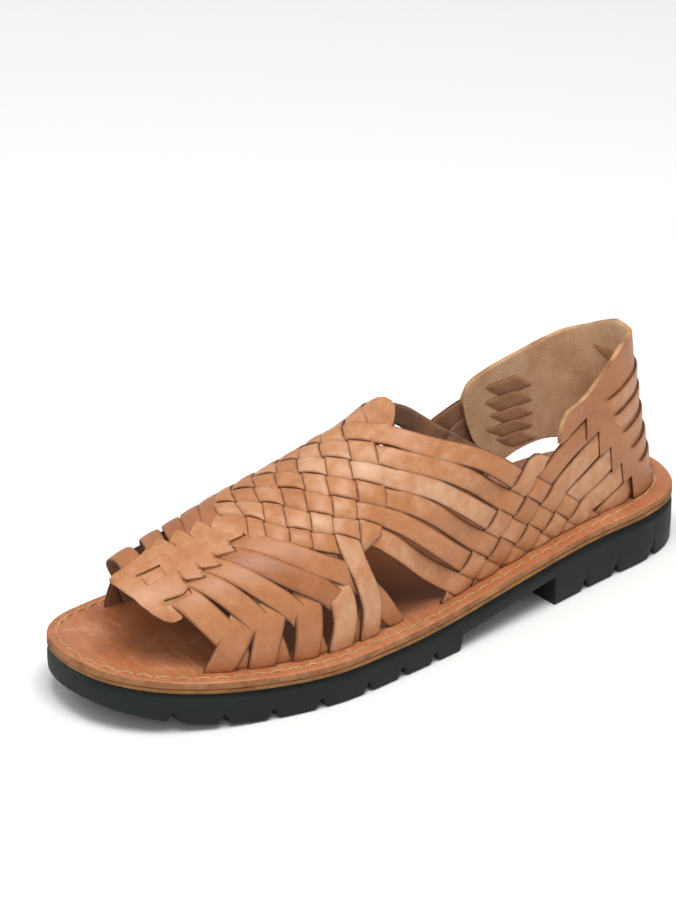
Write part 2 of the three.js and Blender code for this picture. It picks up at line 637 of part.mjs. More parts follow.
// A side view drawn as [station, height] and pushed across the shoe to both sides
function acrossShoe(profile, half) {
  const shape = new THREE.Shape(profile.map(([station, height]) => new THREE.Vector2(toY(station), height)));
  const geometry = new THREE.ExtrudeGeometry(shape, { depth: 2 * half, bevelEnabled: false });
  geometry.translate(0, 0, -half);
  geometry.applyMatrix4(new THREE.Matrix4().makeBasis(
    new THREE.Vector3(0, 1, 0), new THREE.Vector3(0, 0, 1), new THREE.Vector3(1, 0, 0)));
  return solidFrom(geometry);
}

// A layer of the sole on the outline, between two heights that change along the shoe
function layer(bottom, top) {
  const ring = outline(OUTLINE_STEPS, 0);
  const count = ring.length;
  const positions = [];
  for (const height of [top, bottom]) {
    for (const p of ring) positions.push(p.x, toY(p.y), height(p.y));
  }
  const index = [];
  const triangle = (a, b, c) => index.push(a, b, c);
  for (let i = 0; i < count; i += 1) {
    const next = (i + 1) % count;
    triangle(i, i + count, next + count);
    triangle(i, next + count, next);
  }
  const half = count / 2;
  for (let i = 0; i < half; i += 1) {
    const [a, b] = [i, i + 1];
    const [c, d] = [(count - i) % count, count - i - 1];
    if (b !== d) {
      triangle(a, b, d);
      triangle(a + count, d + count, b + count);
    }
    if (a !== c) {
      triangle(a, d, c);
      triangle(a + count, c + count, d + count);
    }
  }
  const solid = solidOf(positions, index);
  return solid.volume() > 0 ? solid : solidOf(positions, index.reverse());
}

// Outsole: block of rubber with the arch cut out under the waist and notches along its edge
function outsole() {
  const roof = [];
  for (let k = 0; k <= WAIST_STEPS; k += 1) {
    const part = k / WAIST_STEPS;
    const station = lerp(HEEL_BREAST, FORE_STEP - STEP_ROUND, part);
    roof.push([station, rubberTop(station) - lerp(WAIST_BACK, WAIST_FRONT, part)]);
  }
  const [edge, high] = roof.at(-1);
  for (const turn of [0.33, 0.66, 1]) {
    const angle = turn * Math.PI / 2;
    roof.push([edge + STEP_ROUND * Math.sin(angle), high - STEP_ROUND * (1 - Math.cos(angle))]);
  }
  const arch = acrossShoe([[HEEL_BREAST, -HALF_CUT], ...roof, [FORE_STEP, -HALF_CUT]], HALF_CUT);
  let solid = layer(tread, rubberTop).subtract(arch);
  const ring = outline(FINE_STEPS, 0);
  for (const station of NOTCHES) {
    for (const side of [1, -1]) {
      const half = ring.length / 2;
      const chain = side > 0 ? ring.slice(0, half + 1) : [ring[0], ...ring.slice(half).reverse()];
      const i = chain.findIndex((p) => p.y >= station);
      const run = chain[i].clone().sub(chain[i - 1]);
      const box = new THREE.BoxGeometry(2 * NOTCH.deep, NOTCH.wide, 2 * NOTCH.high);
      box.rotateZ(Math.atan2(run.x, run.y));
      box.translate(chain[i].x, toY(station), tread(station));
      solid = solid.subtract(solidFrom(box));
    }
  }
  return solid;
}

// Woven upper: all its strips and plates joined, and trimmed just above the insole
function upper() {
  const pieces = [instepWeave(), toePlate(), heelCounter(), lastHeelStrip()];
  for (const side of [1, -1]) {
    pieces.push(quarterWeave(side));
    for (let number = 1; number <= QUARTER.bands; number += 1) pieces.push(band(number, side));
    WOVEN.forEach((row, k) => row.foot && pieces.push(foreStrip(k + 1, side)));
    pieces.push(fanWall(side));
  }
  HEEL_STRIPS.forEach((row, k) => pieces.push(heelStrip(row, k + 2, 1)));
  INNER_HEEL_STRIPS.forEach((row, k) => pieces.push(heelStrip(row, k + 1, -1)));
  BACK_STRIPS.forEach((row) => pieces.push(backStrip(row)));
  pieces.push(tab());
  const joined = pieces.reduce((whole, piece) => whole.add(piece));
  const stations = Array.from({ length: FLOOR_STEPS + 1 }, (_, k) => k * LENGTH / FLOOR_STEPS);
  const floor = stations.map((station) => [station, insoleTop(station) + GAP]);
  const below = acrossShoe([...floor, [LENGTH, -HALF_CUT], [0, -HALF_CUT]], HALF_CUT);
  return joined.subtract(below);
}

// A solid as a named mesh with its colour
function part(name, solid, color, roughness) {
  const { vertProperties, triVerts, numProp } = solid.getMesh();
  if (numProp !== 3) throw new Error(`${name} has more than positions`);
  const geometry = new THREE.BufferGeometry();
  geometry.setAttribute('position', new THREE.BufferAttribute(vertProperties, 3));
  geometry.setIndex(new THREE.BufferAttribute(triVerts, 1));
  geometry.computeVertexNormals();
  const mesh = new THREE.Mesh(geometry, new THREE.MeshStandardMaterial({ color, roughness, metalness: 0 }));
  mesh.name = name;
  return mesh;
}

const midsoleBottom = (station) => rubberTop(station) + GAP;
const midsoleTop = (station) => midsoleBottom(station) + MIDSOLE;
const insoleBottom = (station) => midsoleTop(station) + GAP;

const sandal = new THREE.Group();
sandal.position.x = MID_SHIFT;
sandal.add(
  part('outsole', outsole(), 0x2d3432, 0.75),
  part('midsole', layer(midsoleBottom, midsoleTop), 0xc08a5a, 0.85),
  part('insole', layer(insoleBottom, insoleTop), 0xb06a46, 0.55),
  part('upper', upper(), 0xc8926a, 0.5),
);

export default sandal;
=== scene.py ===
"""Left huarache sandal: woven leather strips on a leather insole and a moulded rubber sole.

The strips lie on the surface of a last. That surface has two maps: station and girth over the
instep, and distance round the heel and height for the back. Lengths are in millimetres until a
mesh is made. The toe points to -Y and the outer side of the foot to +X.
"""

import math
import random
from types import SimpleNamespace

import bmesh
import bpy
import numpy as np
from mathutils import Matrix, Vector


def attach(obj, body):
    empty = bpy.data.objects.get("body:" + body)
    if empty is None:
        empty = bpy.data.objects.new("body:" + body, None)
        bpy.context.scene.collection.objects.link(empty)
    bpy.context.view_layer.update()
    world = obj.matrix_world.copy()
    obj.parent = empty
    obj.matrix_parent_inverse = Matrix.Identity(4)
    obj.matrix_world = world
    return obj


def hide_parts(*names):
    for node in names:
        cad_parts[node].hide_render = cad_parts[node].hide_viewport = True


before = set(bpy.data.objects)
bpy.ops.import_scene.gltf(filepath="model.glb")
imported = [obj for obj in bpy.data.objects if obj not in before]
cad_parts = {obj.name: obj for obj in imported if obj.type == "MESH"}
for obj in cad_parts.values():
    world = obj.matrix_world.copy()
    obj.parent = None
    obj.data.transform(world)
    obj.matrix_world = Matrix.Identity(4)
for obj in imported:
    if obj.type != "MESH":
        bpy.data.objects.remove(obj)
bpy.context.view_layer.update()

bl_info = {
    "name": "Huarache sandal",
    "version": (1, 0, 0),
    "blender": (4, 5, 0),
    "location": "View3D > Sidebar > Sandal",
    "description": "Builds a woven leather sandal on its frame",
    "category": "Object",
}

# Sizes without a unit are in mm, and a smooth rise is given as its start and its length
MM = 0.001
BODY = "root"

# Sole and last, as in the frame
LENGTH = 290.0
MID_SHIFT = 2.7
HEEL_TOP = 20.7
FORE_TOP = 13.3
TOE_SPRING = 7.7
TREAD_RISE = 11.0
ROCKER_FROM = 225.0
GAP = 0.3
MIDSOLE = 1.6
INSOLE = 2.8
STACK = MIDSOLE + INSOLE + 2 * GAP
FEATHER_INSET = 9.0
ROUND = 0.87
AXIS_SHIFT = 0.12
TURN_FROM = 190.0
TURN_LONG = 55.0
HEEL_LEAN = 13.0
LEAN_HEIGHT = 70.0
LEAN_REACH = 75.0
LEAN_CURVE = 1.3
HOLLOW = 5.8
HOLLOW_FROM = -8.0
HOLLOW_HIGH = 100.0
HOLLOW_REACH = 60.0
GIRTH_DROP = 40.0
SLOPE_FROM = 0.22
SLOPE_LONG = 0.38
SPRING_FROM = 0.7
# A point inside the last, which all leather faces away from
LAST_HEART = (MID_SHIFT, 0.0, 40.0)

# Sole outline: station, half width to the outer side, half width to the inner side
OUTLINE = [
    (6, 18.5, 18.5), (16, 27, 27), (32, 32, 32), (58, 34.5, 33.6), (87, 38.3, 34.3),
    (116, 41.5, 35.6), (145, 44.5, 38.9), (174, 46.8, 46.5), (203, 47.6, 53), (232, 41.5, 52),
    (258, 32, 47.5), (275, 21, 41), (286, 7, 30),
]
TOE_X = -11.5
# Points of the outline from one row to the next
FINE = 24

# Height of the last's ridge over the insole, by station
RIDGE = [
    (0, 170), (60, 150), (85, 125), (105, 104), (125, 86), (145, 74), (165, 64), (190, 54),
    (219, 44), (245, 36), (266, 29), (290, 24),
]

# Woven strips: stations of the middle at these girths, to the quarter and to the forefoot
GIRTHS = [0, 0.12, 0.25, 0.37, 0.5, 0.63, 0.76, 0.88, 1]
BANDS = [
    [159.6, 155, 150.3, 144.3, 135, 122.5],
    [169.6, 165.2, 159, 152.8, 143, 131.5],
    [180.7, 175.5, 168.4, 161.5, 152.3, 141.3],
    [190.6, 185, 178.9, 171.5, 161.8, 150.8],
    [200, 195, 189.5, 182, 171, 160.5],
    [209.2, 205, 200.3, 192.8, 181, 172.3],
    [217, 214.4, 209.3, 202.3, 192.5, 181],
]
FORES = [
    [159.6, 163.5, 167, 169.5, 173, 177, 174, 171.5, 172.5],
    [169.6, 175, 179, 183, 187, 185.4, 182.9, 180.5, 181.5],
    [180.7, 185.5, 189.5, 193, 195.7, 195.9, 194.8, 194.4, 197.5],
    [190.6, 195, 199.5, 203.5, 206.2, 208.2, 209.6, 210.6, 212],
    [200, 205.5, 209.5, 213.5, 218, 222.5, 226, 228.5, 230],
    [209.2, 214.5, 219, 224.5, 231, 236.5, 241.5, 245.5, 249.5],
    [217, 222, 227],
]
STRIP_COUNT = 7
# Halvings in the search for a crossing
HALVINGS = 26

# Forefoot strips: number, width at the foot, girth where the strip comes out over the fan
FORE_FEET = {2: (10.2, 0.40), 3: (11.8, 0.68), 4: (11.8, 0.65), 5: (12.0, 0.60), 6: (12.2, 0.58)}

# Any strip: width of a band, spacing of the rows, least step between two rows, least number of rows,
# width in the weave by the weave's pitch, and half of the distance over which that pitch is measured
BAND_WIDTH = 8.7
ROW_SPACING = 1.9
ROW_CLOSEST = 0.05
ROW_LEAST = 4
FULL_PITCH = 0.985
PITCH_STEP = 0.3
# Steps along each map that give a strip's direction
STEPS = {"quarter": 0.05, "band": 0.02, "lattice": 0.06, "fore": 0.012, "path": 0.01, "short": 0.02}
# Width of a map's unit across a strip, in mm
PATH_PITCH = 10.0
# Value of a point that is not on a darkened edge
PLAIN_EDGE = 0.3

# Dye of the strips: middle tone of each group, and the spread of the draws
# The fan and the counter get a darker middle tone as painted shade, for their faces that turn to the side
TONES = {"weave": 0.55, "fan": 0.17, "heel": 0.55, "back": 0.4, "counter": 0.15, "plate": 0.5,
         "strap": 0.6, "tail": 0.5}
TONE_SPREAD = 0.3
SEEDS = {"weave": 11, "fan": 23, "heel": 37, "stitches": 7}

# Weave, in cells: step of the rows, start on the instep, end on the quarter, and where its lift fades
CELL_STEP = 0.16
WEAVE_START = 0.62
HALF_CELL = 0.5
QUARTER_TOP = 0.35
QUARTER_FADE = (0.2, 0.4)
# Power that flattens the wave of a strip's lift
WEAVE_FLAT = 0.55
# Depth of a strip's end under the insole's top, and the cell where the inner side's first strip ends
FOOT_DEEP = 3.6
INNER_FIRST_END = 4.4
# Side bands: how square their rows are in the quarter, girth where they start, overlap with the weave,
# number of rows, and girth over which their rows turn square
BAND_TURN = 0.35
BAND_LOW = 0.66
BAND_OVERLAP = 0.02
BAND_ROWS = 7
BAND_SQUARE = 0.08
# Rows at the first strip's end, set askew: mm, and the cell where that starts
FIRST_SLANT = 11.0
FIRST_SLANT_AT = (5.6, 0.8)
# Forefoot ends of the strips, by girth: start after the weave, step of the rows, rows at the foot, ways
# over which they turn square, widen and rise, and how they narrow and settle near the foot
FORE_START = 0.04
FORE_GIRTH_STEP = 0.045
FOOT_GIRTHS = (1.0, 1.03, 1.07)
FORE_SQUARE = 0.12
FORE_WIDEN = 0.25
FORE_TAPER = 0.03
TAPER_AT = (0.84, 0.2)
FORE_RISE = 0.12
FORE_SETTLE = 0.5
SETTLE_AT = (0.9, 0.12)

# Weave of the quarter: first corner, its number in the count of bands and of heel strips, step to the
# next band, step to the next heel strip
QUARTER_CORNER = (101.5, 25.5)
CORNER_AT = 1.5
QUARTER_BAND = (7.3, -5.8)
QUARTER_HEEL = (-8.5, -7.0)

# Fan strips: slit, middle, low point (station, girth), foot station, width, girth of the dive
FAN = [
    ((253, 0.318), (247.5, 0.575), (242, 0.775), 237, 11.2, 0.70),
    ((244.5, 0.222), (235.5, 0.53), (228.5, 0.75), 222, 9.8, 0.70),
    ((236.5, 0.167), (225.6, 0.49), (214, 0.76), 206, 9.0, 0.70),
    ((229.5, 0.143), (215, 0.49), (199, 0.75), 187.5, 9.4, 0.70),
    ((223, 0.1), (204.5, 0.495), (189.5, 0.7), 168.5, 9.4, 0.61),
]
INNER_FAN = 0.88
INNER_FRONT = ((256, 0.24), (251, 0.56), (245, 0.775), 240, 11.2, 0.70)
# Start under the plate, from the slit; mm for a girth of 1; part of the way that is made
FAN_TUCK = (3, -0.14)
FAN_GIRTH = 45.0
FAN_WAY = (0.03, 0.985, 40)
FAN_TAPER = 0.2
FAN_OUT = (0.14, 0.2)
FAN_DIVE = 0.16
# Depth under the forefoot strips and under the plate, in lifts of the weave
DIVE_DEEP = 1.9
TUCK_DEEP = 2.0

# Heel strips, from the notch in the counter to the quarter: (round, height)
HEEL_STRIPS = {
    1: [(87.5, 37.2), (92, 36.6)],
    2: [(52.5, 44.6), (62, 41), (76, 35.7)],
    3: [(45.5, 37.0), (55, 33), (68, 27)],
    4: [(38, 28.8), (47, 24.5), (60, 18.5)],
    5: [(32, 19.0), (41, 15.4), (53, 10.5)],
}
LAST_HEEL_STRIP = [(25, 9.5), (34, 7.2), (42, 4.4), (50, 1.4), (57, -2.4), (60, -4)]

# Heel strips of the inner side, which lie on the counter's flap
INNER_HEEL_STRIPS = {
    1: [(51, 46), (56, 44.5), (76, 39.5)],
    2: [(50.5, 38.8), (56, 37), (72, 31)],
    3: [(50, 32.4), (56, 30.2), (67, 25)],
    4: [(49.5, 25.3), (55, 23.3), (63, 18.8)],
}

# Heel strips on their way to the quarter: width, and on the outer and inner side the lift at the slit,
# the lift after it and the part of the way where they settle
HEEL_WIDTH = 10.3
HEEL_TURN = 0.3
HEEL_ROWS = 14
PATH_END = 0.01
INLET_STOP = 0.05
HEEL_LIFTS = {1: (-1.4, -0.15, 0.45), -1: (0.5, 2.2, 0.62)}
HEEL_OUT = (0.08, 0.15)
HEEL_SETTLE = 0.28
RUN_IN = (0.5, 1.2)
# The first strip is a lens between the counter and the quarter
LENS_LIFT = -0.3
LENS_TAPER = 0.45
LENS_TIP = 1.0
LEAF_TILT = 0.5
# Lift of the inner side's strips where they leave the flap
FLAP_LIFT = 1.7
FLAP_FADE = (0.62, 0.5)
LAST_WIDTH = 9.6
LAST_ROWS = 18
LAST_LIFTS = (-1.5, -0.2)
LAST_OUT = (0.15, 0.25)

# Heel counter: collar line, and the teeth that the heel strips come out of, as their start and end
# round the heel and the heights of notch and tip
COLLAR = [
    (0, 70.5), (25, 72), (33, 71), (40, 68.5), (50, 63.8), (60, 58.3), (66, 55.3), (72, 53.8),
    (77, 52.3), (80, 48.5), (81.5, 43),
]
COUNTER_LOW = -3.0
COUNTER_CELLS = 44
COUNTER_LIFT = 0.5
TEETH = [
    (35.5, 42, 11.5, 10), (42, 49, 20, 17), (49, 57, 29.3, 27), (57, 65.3, 38.5, 36.2),
    (65.3, 81.5, 47, 40.5),
]
TOOTH_GAP = 0.15
TOOTH_POINTS = 6
FRONT_POINTS = 8
FRONT_STOP = 76.0
FRONT_LOBE = [(77, 41.7), (80, 40.9), (81.5, 40.5)]
# The teeth's cut edges take the dark strip edge as painted shade behind this place, and below this height
# over the floor
TEETH_FRONT = (76.5, 44.0)
TEETH_TOP = 73.0

# Flap of the counter on the inner side: its lower edge over the arch, its collar line, and its rows
# as start, end and count
FLAP_EDGE = [
    (21.5, -3), (22.5, 1.5), (24, 5), (27, 8), (30, 10), (40, 12), (50, 12), (59, 10.6), (66, 8.4),
    (70, 9), (76, 14.5), (82, 22), (86, 32), (88.5, 41),
]
FLAP_COLLAR = [
    (0, 70.5), (10, 66.5), (16, 64), (25, 62), (39, 59), (56, 56.2), (69, 54), (82, 51), (86, 48.6),
    (88.5, 44),
]
BACK_ROWS = (0, TEETH[0][0] - TOOTH_GAP, 30)
INNER_BACK_ROWS = (1.2, 21.5, 17)
FLAP_ROWS = ((22.4, 80, 48), (81, 88.5, 11))

# Ends of the back strips inside the flap: height, width, start, front end
TAILS = [
    (43.2, 7.6, 46, 77), (36.2, 7.6, 46, 77), (29.5, 6.8, 46, 73.5), (23.4, 6.4, 46, 75),
    (17.4, 7.0, 46, 69), (54.0, 8.4, -8, 10.5),
]
# Slant of their ends, fall to the front, thickness, lift inside the flap, where they come in, and how
# far they come back out at the end
TAIL_SLANT = 9.0
TAIL_FALL = 1.5
TAIL_THICK = 0.9
TAIL_INSIDE = -0.55
TAIL_IN = (0.16, 0.16)
TAIL_BACK = 0.8
TAIL_BACK_AT = (0.75, 0.25)
TAIL_ROWS = 24

# Strips across the back: end, height there, share of the end on the inner side. Their upper edges
# stand out, and their ends sink into the counter.
BACK_STRIPS = [
    (48.5, 46.5, 1), (43, 38.5, 1), (37.8, 29.2, 1), (32.4, 20.0, 0.95), (27.3, 11.3, 0.66),
]
BACK_SLOPE = 0.24
BACK_ROUND = 25.0
BACK_PITCH = 9.4
BACK_WIDTHS = (11.6, 9.6)
BACK_WAY = (-0.995, 0.995, 71)
BACK_OUT = 1.2
BACK_TILT = 1.3
BACK_SLANT = 5.5
BACK_SINK = (-3.2, 4)
SUNK_LIFT = COUNTER_LIFT - 0.05

# Toe plate: station, and girth of its inner and outer edge
PLATE_EDGE = [
    (217.5, 0.03, 0.03), (220, 0.11, 0.11), (226.3, 0.075, 0.08), (226.5, 0.18, 0.17),
    (234.3, 0.11, 0.115), (234.5, 0.22, 0.215), (241.8, 0.145, 0.15), (242, 0.25, 0.245),
    (249.3, 0.17, 0.2), (249.5, 0.2, 0.35), (252, 0.18, 0.42), (256, 0.16, 0.535),
    (259, 0.15, 0.555), (262, 0.14, 0.52), (264.5, 0.13, 0.445), (267, 0.12, 0.32),
    (269, 0.1, 0.13), (270.3, 0.09, -0.02),
]
PLATE_LIFT = 0.95
# The lobe beside the front slit lies lower: drop, station where that ends, girth where it starts
LOBE_DROP = 1.75
LOBE_END = 261.5
LOBE_LONG = 3
LOBE_SIDE = (0.315, 0.06)
# Window of the short strap: station, girth of its slit, half length, girth where the strap ends
WINDOW = (257.0, -0.022)
WINDOW_HALF = 5.2
WINDOW_END = 0.118
# Front slit: first and last station, girth
FRONT_SLIT = (249.4, 259.5, 0.326)
# Half widths of window slit and front slit, room that a line keeps from its neighbours, cells across
SLIT_HALVES = (0.01, 0.006)
SLIT_ROOM = (0.04, 0.2)
PLATE_CELLS = (14, 1, 14, 1, 12)
# Station where the painted shade on the edge of the plate's inner teeth ends
SHADED_TEETH_END = 250
# Strap: girth hidden at each end, width, lifts under and over the plate, girths of its rise and fall
STRAP_TUCK = 0.05
STRAP_WIDTH = 9.6
STRAP_LIFTS = (-2.2, PLATE_LIFT + 0.42)
STRAP_RISE = 0.022
STRAP_FALL = (WINDOW_END - 0.01, 0.03)
STRAP_ROWS = 40
STRAP_THICK = 0.8

# Tab behind the instep: station and half width, mm for a girth of 1, lifts at its tip and its root
TAB = [
    (144, 1.6), (145, 4.4), (147.5, 7.6), (151, 9.6), (155, 9.2), (159, 7), (164, 3),
]
TAB_GIRTH = 62.0
TAB_LIFTS = (1.5, -1.1)
TAB_FALL = (146, 9)
TAB_CELLS = (22, 16)

# Outsole, by station: breast of the heel and step of the forefoot, each with its rounding and the places
# of its loops, then the waist's thickness at the back and the front
HEEL_BREAST = 86.5
BREAST_ROUND = 0.5
BREAST_STEPS = (-0.3, 0, 0.12, 0.25, 0.38, 0.5, 0.9)
FORE_STEP = 141.4
FORE_ROUND = 2.6
FORE_STEPS = (-2.6, -2.2, -1.7, -1.2, -0.7, -0.3, 0, 0.4)
WAIST_BACK = 7.5
WAIST_FRONT = 8.7
# Notches: stations, width at the top and at the mouth, power of their flare, loops from the middle out,
# height and depth
NOTCHES = [27.3, 49.6, 68.3, 154.6, 171.9, 189.7, 211.4, 230.8, 249.4, 266.7]
NOTCH_TOP = 1.3
NOTCH_MOUTH = 6.0
NOTCH_FLARE = 1.7
NOTCH_STEPS = (0, 0.35, 0.65, 0.85, 1.1, 1.4, 1.8, 2.2, 2.6, 3.0)
NOTCH_HIGH = 4.0
NOTCH_DEEP = 11.0
# Growth over the solid's outline, number of loops, and half width below which insets shrink
SOLE_GROW = 0.2
SOLE_STATIONS = 220
NARROW = 14
# Wall from the top: part of the rim's height and inset. Then the tread's corner: height and inset.
# Then the inner end of a notch: distance past its depth and part of its height.
SOLE_RIM = 2.4
RIM_WALL = [(0, 2.6), (0, 1.6), (0.12, 1.15), (0.8, 1.0), (1, 0.55), (1.15, 0.12), (1.5, 0.0)]
LOW_WALL = (0.4, -0.05)
TREAD_CORNER = [(0.9, 0.25), (0.35, 0.6), (0.0, 1.3)]
NOTCH_END = [(-0.7, 1.0), (-0.1, 0.75), (0.2, 0.1), (0.9, 0.0)]
STATIONS_APART = 0.12

# Leather layers of the sole
LAYER_STATIONS = 150
LAYER_CELLS = 12
CORNER_STEPS = (0.0, 0.3, 0.6, 0.9, 1.0)
MIDSOLE_LIFT = 0.12
MIDSOLE_ROUND = 0.35
MIDSOLE_DROP = 0.35
MIDSOLE_GROW = 0.15
INSOLE_ROUND = 0.9
INSOLE_SINK = 0.6
# A face of the insole belongs to its cut edge if its normal rises less than this
EDGE_FACING = 0.6
# Worn colour on the insole: its share, inset from the edge, and the station where it ends
TRODDEN = 0.75
TRODDEN_INSET = (8, 5)
TRODDEN_END = 190
TRODDEN_LONG = 40

# Stitch line: how much further in it lies at the heel, where that ends, and its height on the insole
HEEL_STITCH = 3.4
HEEL_STITCH_END = 62
HEEL_STITCH_LONG = 45
STITCH_LIFT = 0.12
LINE_STEP = 4
# One stitch: half length by the spacing; dip, crown and radius by the thread's thickness; turn
STITCH_HALF = 0.485
STITCH_DIP = -0.75
STITCH_CROWN = 1.05
STITCH_RADIUS = 0.5
STITCH_TURN = 0.09
STITCH_CELLS = 6

# Section of a strip: place across it, height of the top and of the underside, in half thicknesses
SECTION = [
    (-0.5, 0.0, 0.0), (-0.475, 0.62, 0.6), (-0.42, 0.93, 0.92), (-0.25, 1.06, 1.0), (0.0, 1.12, 1.0),
    (0.25, 1.06, 1.0), (0.42, 0.93, 0.92), (0.475, 0.62, 0.6), (0.5, 0.0, 0.0),
]
GRAIN, FLESH, CUT, SHADED_CUT = 0, 1, 2, 3
# Rounding of a cut sheet's edge, and the least angle that is rounded
SHEET_ROUND = 0.42
SHEET_ANGLE = 50

# Height of the painted contact shade where leather meets the insole
FOOT_SHADE_HEIGHT = 4.5

# Flesh sides: darker inside the strips as painted shade, so that the gaps look deep; pale suede inside the
# counter, lightened beyond its own colour as painted light for the shaded inside; and rubbed by the foot
# on the strip ends there
NAPPED = {
    "flesh": "napped_flesh_side_painted_shade", "suede": "counter_suede_painted_light", "tail": "rubbed_strip_end_suede",
}
# Edges: raw and pale on counter and plate, rubbed dark with wax on a strip, stained brown on the insole
# The strips' waxed edge is darker than the wax alone as painted shade, for the dark lines beside the
# strips
FIBROUS = {
    "cut": "raw_cut_edge_leather", "burnish": "burnished_and_shaded_strip_edge",
    "rim": "rough_insole_edge_leather",
}
# Slant of the insole's scuffs in degrees, and how far its creases wander
SCUFF_TURN = 28.0
CREASE_WANDER = 16.0

# Stage, in metres: half width of the floor, light of the room, lamps (name, place, watts, width), aim
FLOOR_HALF = 4.0
FLOOR_COLOUR = "#F4F3F1"
FLOOR_ROUGHNESS = 0.9
ROOM_LIGHT = 0.45
LAMPS = (
    ("key", (0.4, -0.15, 1.6), 23.8, 1.0),
    ("fill", (1.3, -1.2, 0.9), 3.5, 1.2),
    ("rim", (-1.2, -0.6, 1.2), 4.5, 1.0),
)
LAMP_AIM = (0.0, 0.0, 0.04)
# Camera: the point it looks at, turn and rise in degrees, distance in metres, lens in mm
CAMERA_AIM = (-0.02403, -0.0022, 0.06301)
CAMERA_TURN = 52.21
CAMERA_RISE = 26.0
CAMERA_FAR = 1.40016
CAMERA_LENS = 140.07
CAMERA_SENSOR = 36.0


def clamp(value, low, high):
    return max(low, min(high, value))


def lerp(a, b, t):
    return a + (b - a) * t


def smooth(t):
    t = clamp(t, 0.0, 1.0)
    return t * t * (3 - 2 * t)


def ramp(value, start, length):
    """Smooth rise from 0 at a start to 1 after a length; a negative length runs back from the start."""
    return smooth((value - start) / length)


def curved(pairs, key):
    """Smooth interpolation in a sorted list of pairs, with slopes from the neighbours."""
    last = len(pairs) - 1
    k = clamp(key, pairs[0][0], pairs[last][0])
    to = 1
    while to < last and pairs[to][0] < k:
        to += 1
    at = to - 1

    def slope(j):
        a = pairs[max(j - 1, 0)]
        b = pairs[min(j + 1, last)]
        return (b[1] - a[1]) / (b[0] - a[0])

    span = pairs[to][0] - pairs[at][0]
    t = (k - pairs[at][0]) / span
    h1 = (1 + 2 * t) * (1 - t) ** 2
    h2 = t * (1 - t) ** 2 * span
    h3 = t * t * (3 - 2 * t)
    h4 = t * t * (t - 1) * span
    return h1 * pairs[at][1] + h2 * slope(at) + h3 * pairs[to][1] + h4 * slope(to)


def rubber_top(station):
    part = station / LENGTH
    toe = clamp((part - SPRING_FROM) / (1 - SPRING_FROM), 0.0, 1.0)
    return lerp(HEEL_TOP, FORE_TOP, ramp(part, SLOPE_FROM, SLOPE_LONG)) + TOE_SPRING * toe * toe


def insole_top(station):
    return rubber_top(station) + STACK


def tread(station):
    return TREAD_RISE * clamp((station - ROCKER_FROM) / (LENGTH - ROCKER_FROM), 0.0, 1.0) ** 2


def closed_curve(points, steps):
    """Closed centripetal curve through the points, as rows of x and station."""
    points = np.asarray(points, float)
    count = len(points)
    out = []
    for i in range(count):
        p0, p1, p2, p3 = (points[(i + k) % count] for k in (-1, 0, 1, 2))
        t0 = 0.0
        t1 = t0 + math.sqrt(np.linalg.norm(p1 - p0))
        t2 = t1 + math.sqrt(np.linalg.norm(p2 - p1))
        t3 = t2 + math.sqrt(np.linalg.norm(p3 - p2))
        for t in np.linspace(t1, t2, steps, endpoint=False):
            a1 = ((t1 - t) * p0 + (t - t0) * p1) / (t1 - t0)
            a2 = ((t2 - t) * p1 + (t - t1) * p2) / (t2 - t1)
            a3 = ((t3 - t) * p2 + (t - t2) * p3) / (t3 - t2)
            b1 = ((t2 - t) * a1 + (t - t0) * a2) / (t2 - t0)
            b2 = ((t3 - t) * a2 + (t - t1) * a3) / (t3 - t1)
            out.append(((t2 - t) * b1 + (t - t1) * b2) / (t2 - t1))
    return np.array(out)


def inset_ring(ring, inset):
    run = np.roll(ring, -1, 0) - np.roll(ring, 1, 0)
    run /= np.linalg.norm(run, axis=1)[:, None]
    return ring + inset * np.stack([-run[:, 1], run[:, 0]], -1)


def run_lengths(points):
    """Distance of each point along its line."""
    return np.concatenate([[0], np.cumsum(np.linalg.norm(np.diff(points, axis=0), axis=1))])


def two_sides(ring):
    """Outer and inner side of a ring, each from the heel to the toe."""
    toe = int(ring[:, 1].argmax())
    outer = ring[:toe + 1]
    inner = np.vstack([ring[:1], ring[toe:][::-1]])
    return outer, inner


SOLE_RING = closed_curve(
    [(0, 0)] + [(row[1], row[0]) for row in OUTLINE] + [(TOE_X, LENGTH)]
    + [(-row[2], row[0]) for row in OUTLINE[::-1]], FINE)
SOLE_SIDES = two_sides(SOLE_RING)
FOOT_SIDES = two_sides(inset_ring(SOLE_RING, FEATHER_INSET))
FOOT_ROUND = [run_lengths(side) for side in FOOT_SIDES]


def edge_x(sides, side, station):
    """X of the outer (1) or inner (-1) edge at a station."""
    line = sides[0 if side > 0 else 1]
    return float(np.interp(station, line[:, 1], line[:, 0]))


def skin(station, girth):
    """Point of the last over the instep; girth runs from -1, inner, to 1, outer."""
    g = clamp(girth, -1.0, 1.0)
    turn = AXIS_SHIFT * ramp(station, TURN_FROM, TURN_LONG)
    angle = (g + turn * (1 - abs(g))) * math.pi / 2
    outer = edge_x(FOOT_SIDES, 1, station)
    inner = edge_x(FOOT_SIDES, -1, station)
    swing = math.copysign(abs(math.sin(angle)) ** ROUND, angle)
    rise = curved(RIDGE, station) * max(math.cos(angle), 0.0) ** ROUND
    below = max(abs(girth) - 1, 0.0) * GIRTH_DROP
    x = (outer + inner) / 2 + (outer - inner) / 2 * swing
    return np.array([x + MID_SHIFT, LENGTH / 2 - station, insole_top(station) + rise - below])


